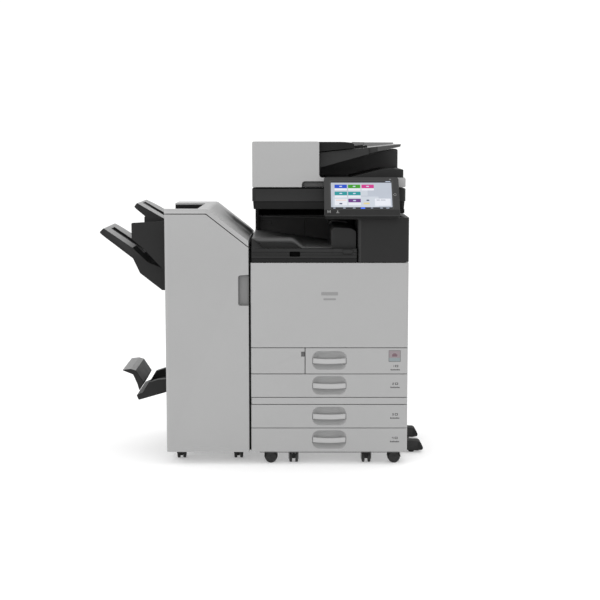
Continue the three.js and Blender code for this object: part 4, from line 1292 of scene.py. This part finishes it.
def finisher_top():
    box = Span("finisher_top_cover")
    outer = rounded([(box.x0, FLAT), (KNEE, FLAT, 22), (box.x1 - 0.5, SLOPE_LOW + 1)], 10)[1:-1]
    xs = [box.x0 + 0.5 + k * (outer[0].x - box.x0 - 1) / 10 for k in range(10)]
    top = [Vector((x, FLAT)) for x in xs] + list(outer)
    last, steps = outer[-1], 22
    run = box.x1 - 0.8 - last.x
    for k in range(1, steps + 1):
        top.append(Vector((last.x + run * k / steps, last.y - run * k / steps * math.tan(SLOPE))))
    under = []
    for k, point in enumerate(top):
        ahead = top[min(k + 1, len(top) - 1)] - top[max(k - 1, 0)]
        normal = Vector((-ahead.y, ahead.x)).normalized()
        under.append(point - normal * COVER_THICKNESS)
    under[-1] = Vector((top[-1].x, top[-1].y - COVER_THICKNESS / math.cos(SLOPE)))
    grid_y = [0.3, 1.2, 3] + [10 * k for k in range(1, 61)] + [609.8, 611.8, 612.7]
    rings = []
    for y in grid_y:
        edge = min(y, FINISHER_DEPTH - y)
        drop = 2.6 * (1 - math.sqrt(max(0, 1 - (1 - min(edge, 3) / 3) ** 2)))
        ring = [(p.x, p.y - slope_groove(p.x, y) - drop) for p in top]
        ring += [(p.x, p.y) for p in reversed(under)]
        rings.append(([Vector(p) for p in ring], y))
    cover = loft("y", rings)
    rim = plate("z", box.x0 - 10, -490, 30, 450, 6, 935, 1000)
    pan = block(box.x0 + 0.4, -487, 27, 453, 930, 950)
    cover = cut(join(cover, pan), rim)
    plan = [(box.x0 - 5, -5), (box.x1, -5), (box.x1, FINISHER_DEPTH, 40), (box.x0 - 5, FINISHER_DEPTH)]
    cover = combine("INTERSECT", cover, [prism("z", plan, 700, 1000, 12)])
    # The slope's upward faces take the paint with the painted valley shade.
    two_tone(cover, lambda n, c: n.z > 0.3 and c.x > KNEE + 8)
    node = "finisher_top_cover"
    piece("finisher_top_skin", node, cover, ["light_top", "valley"], 1.2, [node])
    liner = cut(
        plate("z", box.x0 + 1, -490.4, 30.4, 449.6, 5, 934.8, 957),
        plate("z", box.x0, -492, 32, 448, 4, 936.2, 970),
    )
    piece("finisher_trough_liner", node, liner, "black", 0.4)


def finisher_inside():
    wall = block(-588, -332, 556, 559, 112, 798)
    piece("finisher_bay_wall", "cabinet", wall, "deep", 0.5)
    guides = [prism("y", [(-585, z), (-335, z + 26), (-335, z + 29), (-585, z + 3)], 60, 550)
              for z in (250, 420, 590, 740)]
    piece("finisher_guide_plates", "cabinet", guides, "steel", 0.4)
    shafts = [rod("y", 9, 50, 552, x, z, 24) for z in (314, 484, 654) for x in (-540, -400)]
    piece("finisher_rollers", "cabinet", shafts, "tread", 0)
    levers = [join(block(x - 14, x + 14, 40, 46, z, z + 10), rod("y", 8, 36, 50, x, z + 5, 24))
              for x, z in ((-540, 350), (-400, 520), (-470, 690))]
    piece("finisher_release_levers", "cabinet", levers, "lever", 0.8)
    stapler = prism("y", [(-470, 330, 6), (-360, 330, 6), (-360, 400, 14), (-470, 388, 8)], 60, 190)
    piece("finisher_stapler", "cabinet", stapler, "black", 2)


TRAY_ROOT = -612.3              # where the trays meet the finisher's side
TRAY_NEAR, TRAY_FAR = 100, 440
SLOT_NEAR, SLOT_FAR = 214, 304  # the hand slot in the tip of a tray


def paper_tray(side, tip, slot):
    """A tray from its side view, with its two tip corners rounded in plan and a slot for the hand."""
    body = prism("y", side, TRAY_NEAR, TRAY_FAR)
    root = TRAY_ROOT + 5
    plan = [(tip, TRAY_NEAR, 22), (root, TRAY_NEAR), (root, TRAY_FAR), (tip, TRAY_FAR, 90)]
    body = combine("INTERSECT", body, [prism("z", plan, 600, 1100, 14)])
    return cut(body, prism("y", slot, SLOT_NEAR, SLOT_FAR))


def finisher_trays():
    guard = [(-740, 849, 2), (-695, 811), (TRAY_ROOT, 722), (TRAY_ROOT, 916), (-740, 908, 4)]
    bar = block(-617, TRAY_ROOT, 60, 480, 860, 872)
    fences = join(join(prism("y", guard, 60, 68), bar), prism("y", guard, 472, 480))
    piece("exit_guard_fence", "cabinet", fences, "dark", 1.2, ["exit_guard"])
    side = [
        (TRAY_ROOT, 903), (-690, 906), (-694, 932, 4), (-735.5, 966, 3), (-723, 981, 4), (TRAY_ROOT, 917),
    ]
    body = paper_tray(side, -735.5, [(-715, 972), (-622, 910), (-622, 970), (-715, 1010)])
    two_tone(body, lambda n, c: n.z > 0.5 and c.z > 979 - (c.x + 723) * 0.578)
    piece("proof_tray_body", "cabinet", body, ["dark", "tray_top"], 2.0, ["proof_tray"])
    side = [
        (TRAY_ROOT - 1.7, 651), (-632, 651, 6), (-715, 716, 10), (-741, 772, 10), (-868, 869.5, 3),
        (-850, 886, 4), (-742, 812, 6), (-684, 756, 60), (TRAY_ROOT - 1.7, 728),
    ]
    body = paper_tray(side, -868, [(-838, 868), (-690, 768), (-690, 830), (-838, 930)])
    two_tone(body, lambda n, c: n.z > 0.5 and c.x < -742 and c.z > 884 - (c.x + 850) * 0.685)
    # Painted shade: the tray's inner top faces beside the guard are painted near-black, standing in for the
    # shade there.
    two_tone(body, lambda n, c: n.z > 0.3 and c.x > -742 and c.z < 815, 2)
    piece("shift_tray_body", "shift_tray", body, ["dark", "tray_top", "shade_black"], 2.0, ["shift_tray"])
    basket = prism("y", [
        (TRAY_ROOT, 258), (-730, 224, 5), (-738, 243, 3), (-713, 254, 3),
        (-690, 292, 8), (-656, 303, 12), (TRAY_ROOT, 307),
    ], 120, 400)
    well = prism("y", [(-616, 330), (-616, 284), (-705, 255), (-690, 330)], 150, 370)
    piece("booklet_basket", "cabinet", cut(basket, well), "dark", 1.6, ["booklet_tray"])
    flap = prism("y", [
        (-727, 259, 2), (-709, 292, 3), (-739.5, 339, 6), (-759, 345, 5),
        (-796.5, 341, 2), (-751, 323, 6), (-744, 308, 5), (-734, 284, 4),
    ], 124, 396)
    two_tone(flap, lambda n, c: n.z > 0.75 and c.x < -740)
    piece("booklet_flap_shell", "booklet_flap", flap, ["dark", "mid"], 1.2, ["booklet_flap"])


# ---------------------------------------------------------------- frames that stay as they are
def carried_frames():
    # The main frame takes the near-black used for painted shade, so it reads as the dark inside of the
    # cabinet.
    carry("main_frame", "shade_black", 0.6)
    carry("bank_frame", "light", 1.2)
    carry("imaging_unit", "black", 1.0)
    carry("fuser_unit", "steel", 1.0)
    # Painted shade: a near-black strip fills the gap between finisher and cabinet, standing in for its
    # shade.
    docking = block(-300.2, -293.8, 6, 598, 56, 812)
    piece("docking_seal", "cabinet", docking, "shade_black", 0.6)


# ---------------------------------------------------------------- studio
CAMERA_PLACE = (-110, -4849, 1216)
CAMERA_TILT = 6.94              # degrees below level
LENS = 78.9                     # focal length in mm
LIT_POINT = (-100, 200, 600)    # what the lamps are turned to


def studio():
    camera_data = bpy.data.cameras.new("camera")
    camera_data.lens = LENS
    camera_data.sensor_width = 36
    camera_data.clip_end = 60
    camera = bpy.data.objects.new("camera", camera_data)
    camera.location = at(*CAMERA_PLACE)
    camera.rotation_euler = (math.radians(90 - CAMERA_TILT), 0, 0)
    bpy.context.scene.collection.objects.link(camera)
    bpy.context.scene.camera = camera

    bm = bmesh.new()
    corners = [bm.verts.new((x, y, 0)) for x, y in ((-30, -30), (30, -30), (30, 30), (-30, 30))]
    bm.faces.new(corners)
    floor = solid(bm, "floor")
    s = Shader("floor_paper")
    s.set(Base_Color=s.mix(s.noise(3, 3), grey(0.875), grey(0.885)))
    s.set(Roughness=0.9, Emission_Color=(1, 1, 1, 1), Emission_Strength=0.3)
    floor.data.materials.append(s.material)

    world = bpy.data.worlds.new("studio")
    bpy.context.scene.world = world
    world.use_nodes = True
    background = world.node_tree.nodes["Background"]
    background.inputs["Color"].default_value = (1, 1, 1, 1)
    background.inputs["Strength"].default_value = 1.06
    add_area("key", at(-1600, -3200, 3200), 2.6, 20)
    add_area("top", at(100, 300, 3600), 3.0, 22)
    add_area("left", at(-3600, -900, 1400), 2.4, 6)
    bpy.context.scene.view_settings.view_transform = "Standard"


def add_area(name, location, size, power):
    data = bpy.data.lights.new(name, "AREA")
    data.size = size
    data.energy = power
    light = bpy.data.objects.new(name, data)
    light.location = location
    light.rotation_euler = (at(*LIT_POINT) - location).to_track_quat("-Z", "Y").to_euler()
    bpy.context.scene.collection.objects.link(light)


# ---------------------------------------------------------------- assembly
front_door()
inner_cover()
waste_cover()
side_door()
rear_cover()
right_upper_cover()
exit_tray()
scanner()
panel()
feeder()
for number in range(1, 5):
    drawer(number)
tray_sticker()
casters()
feet()
finisher()
carried_frames()
studio()
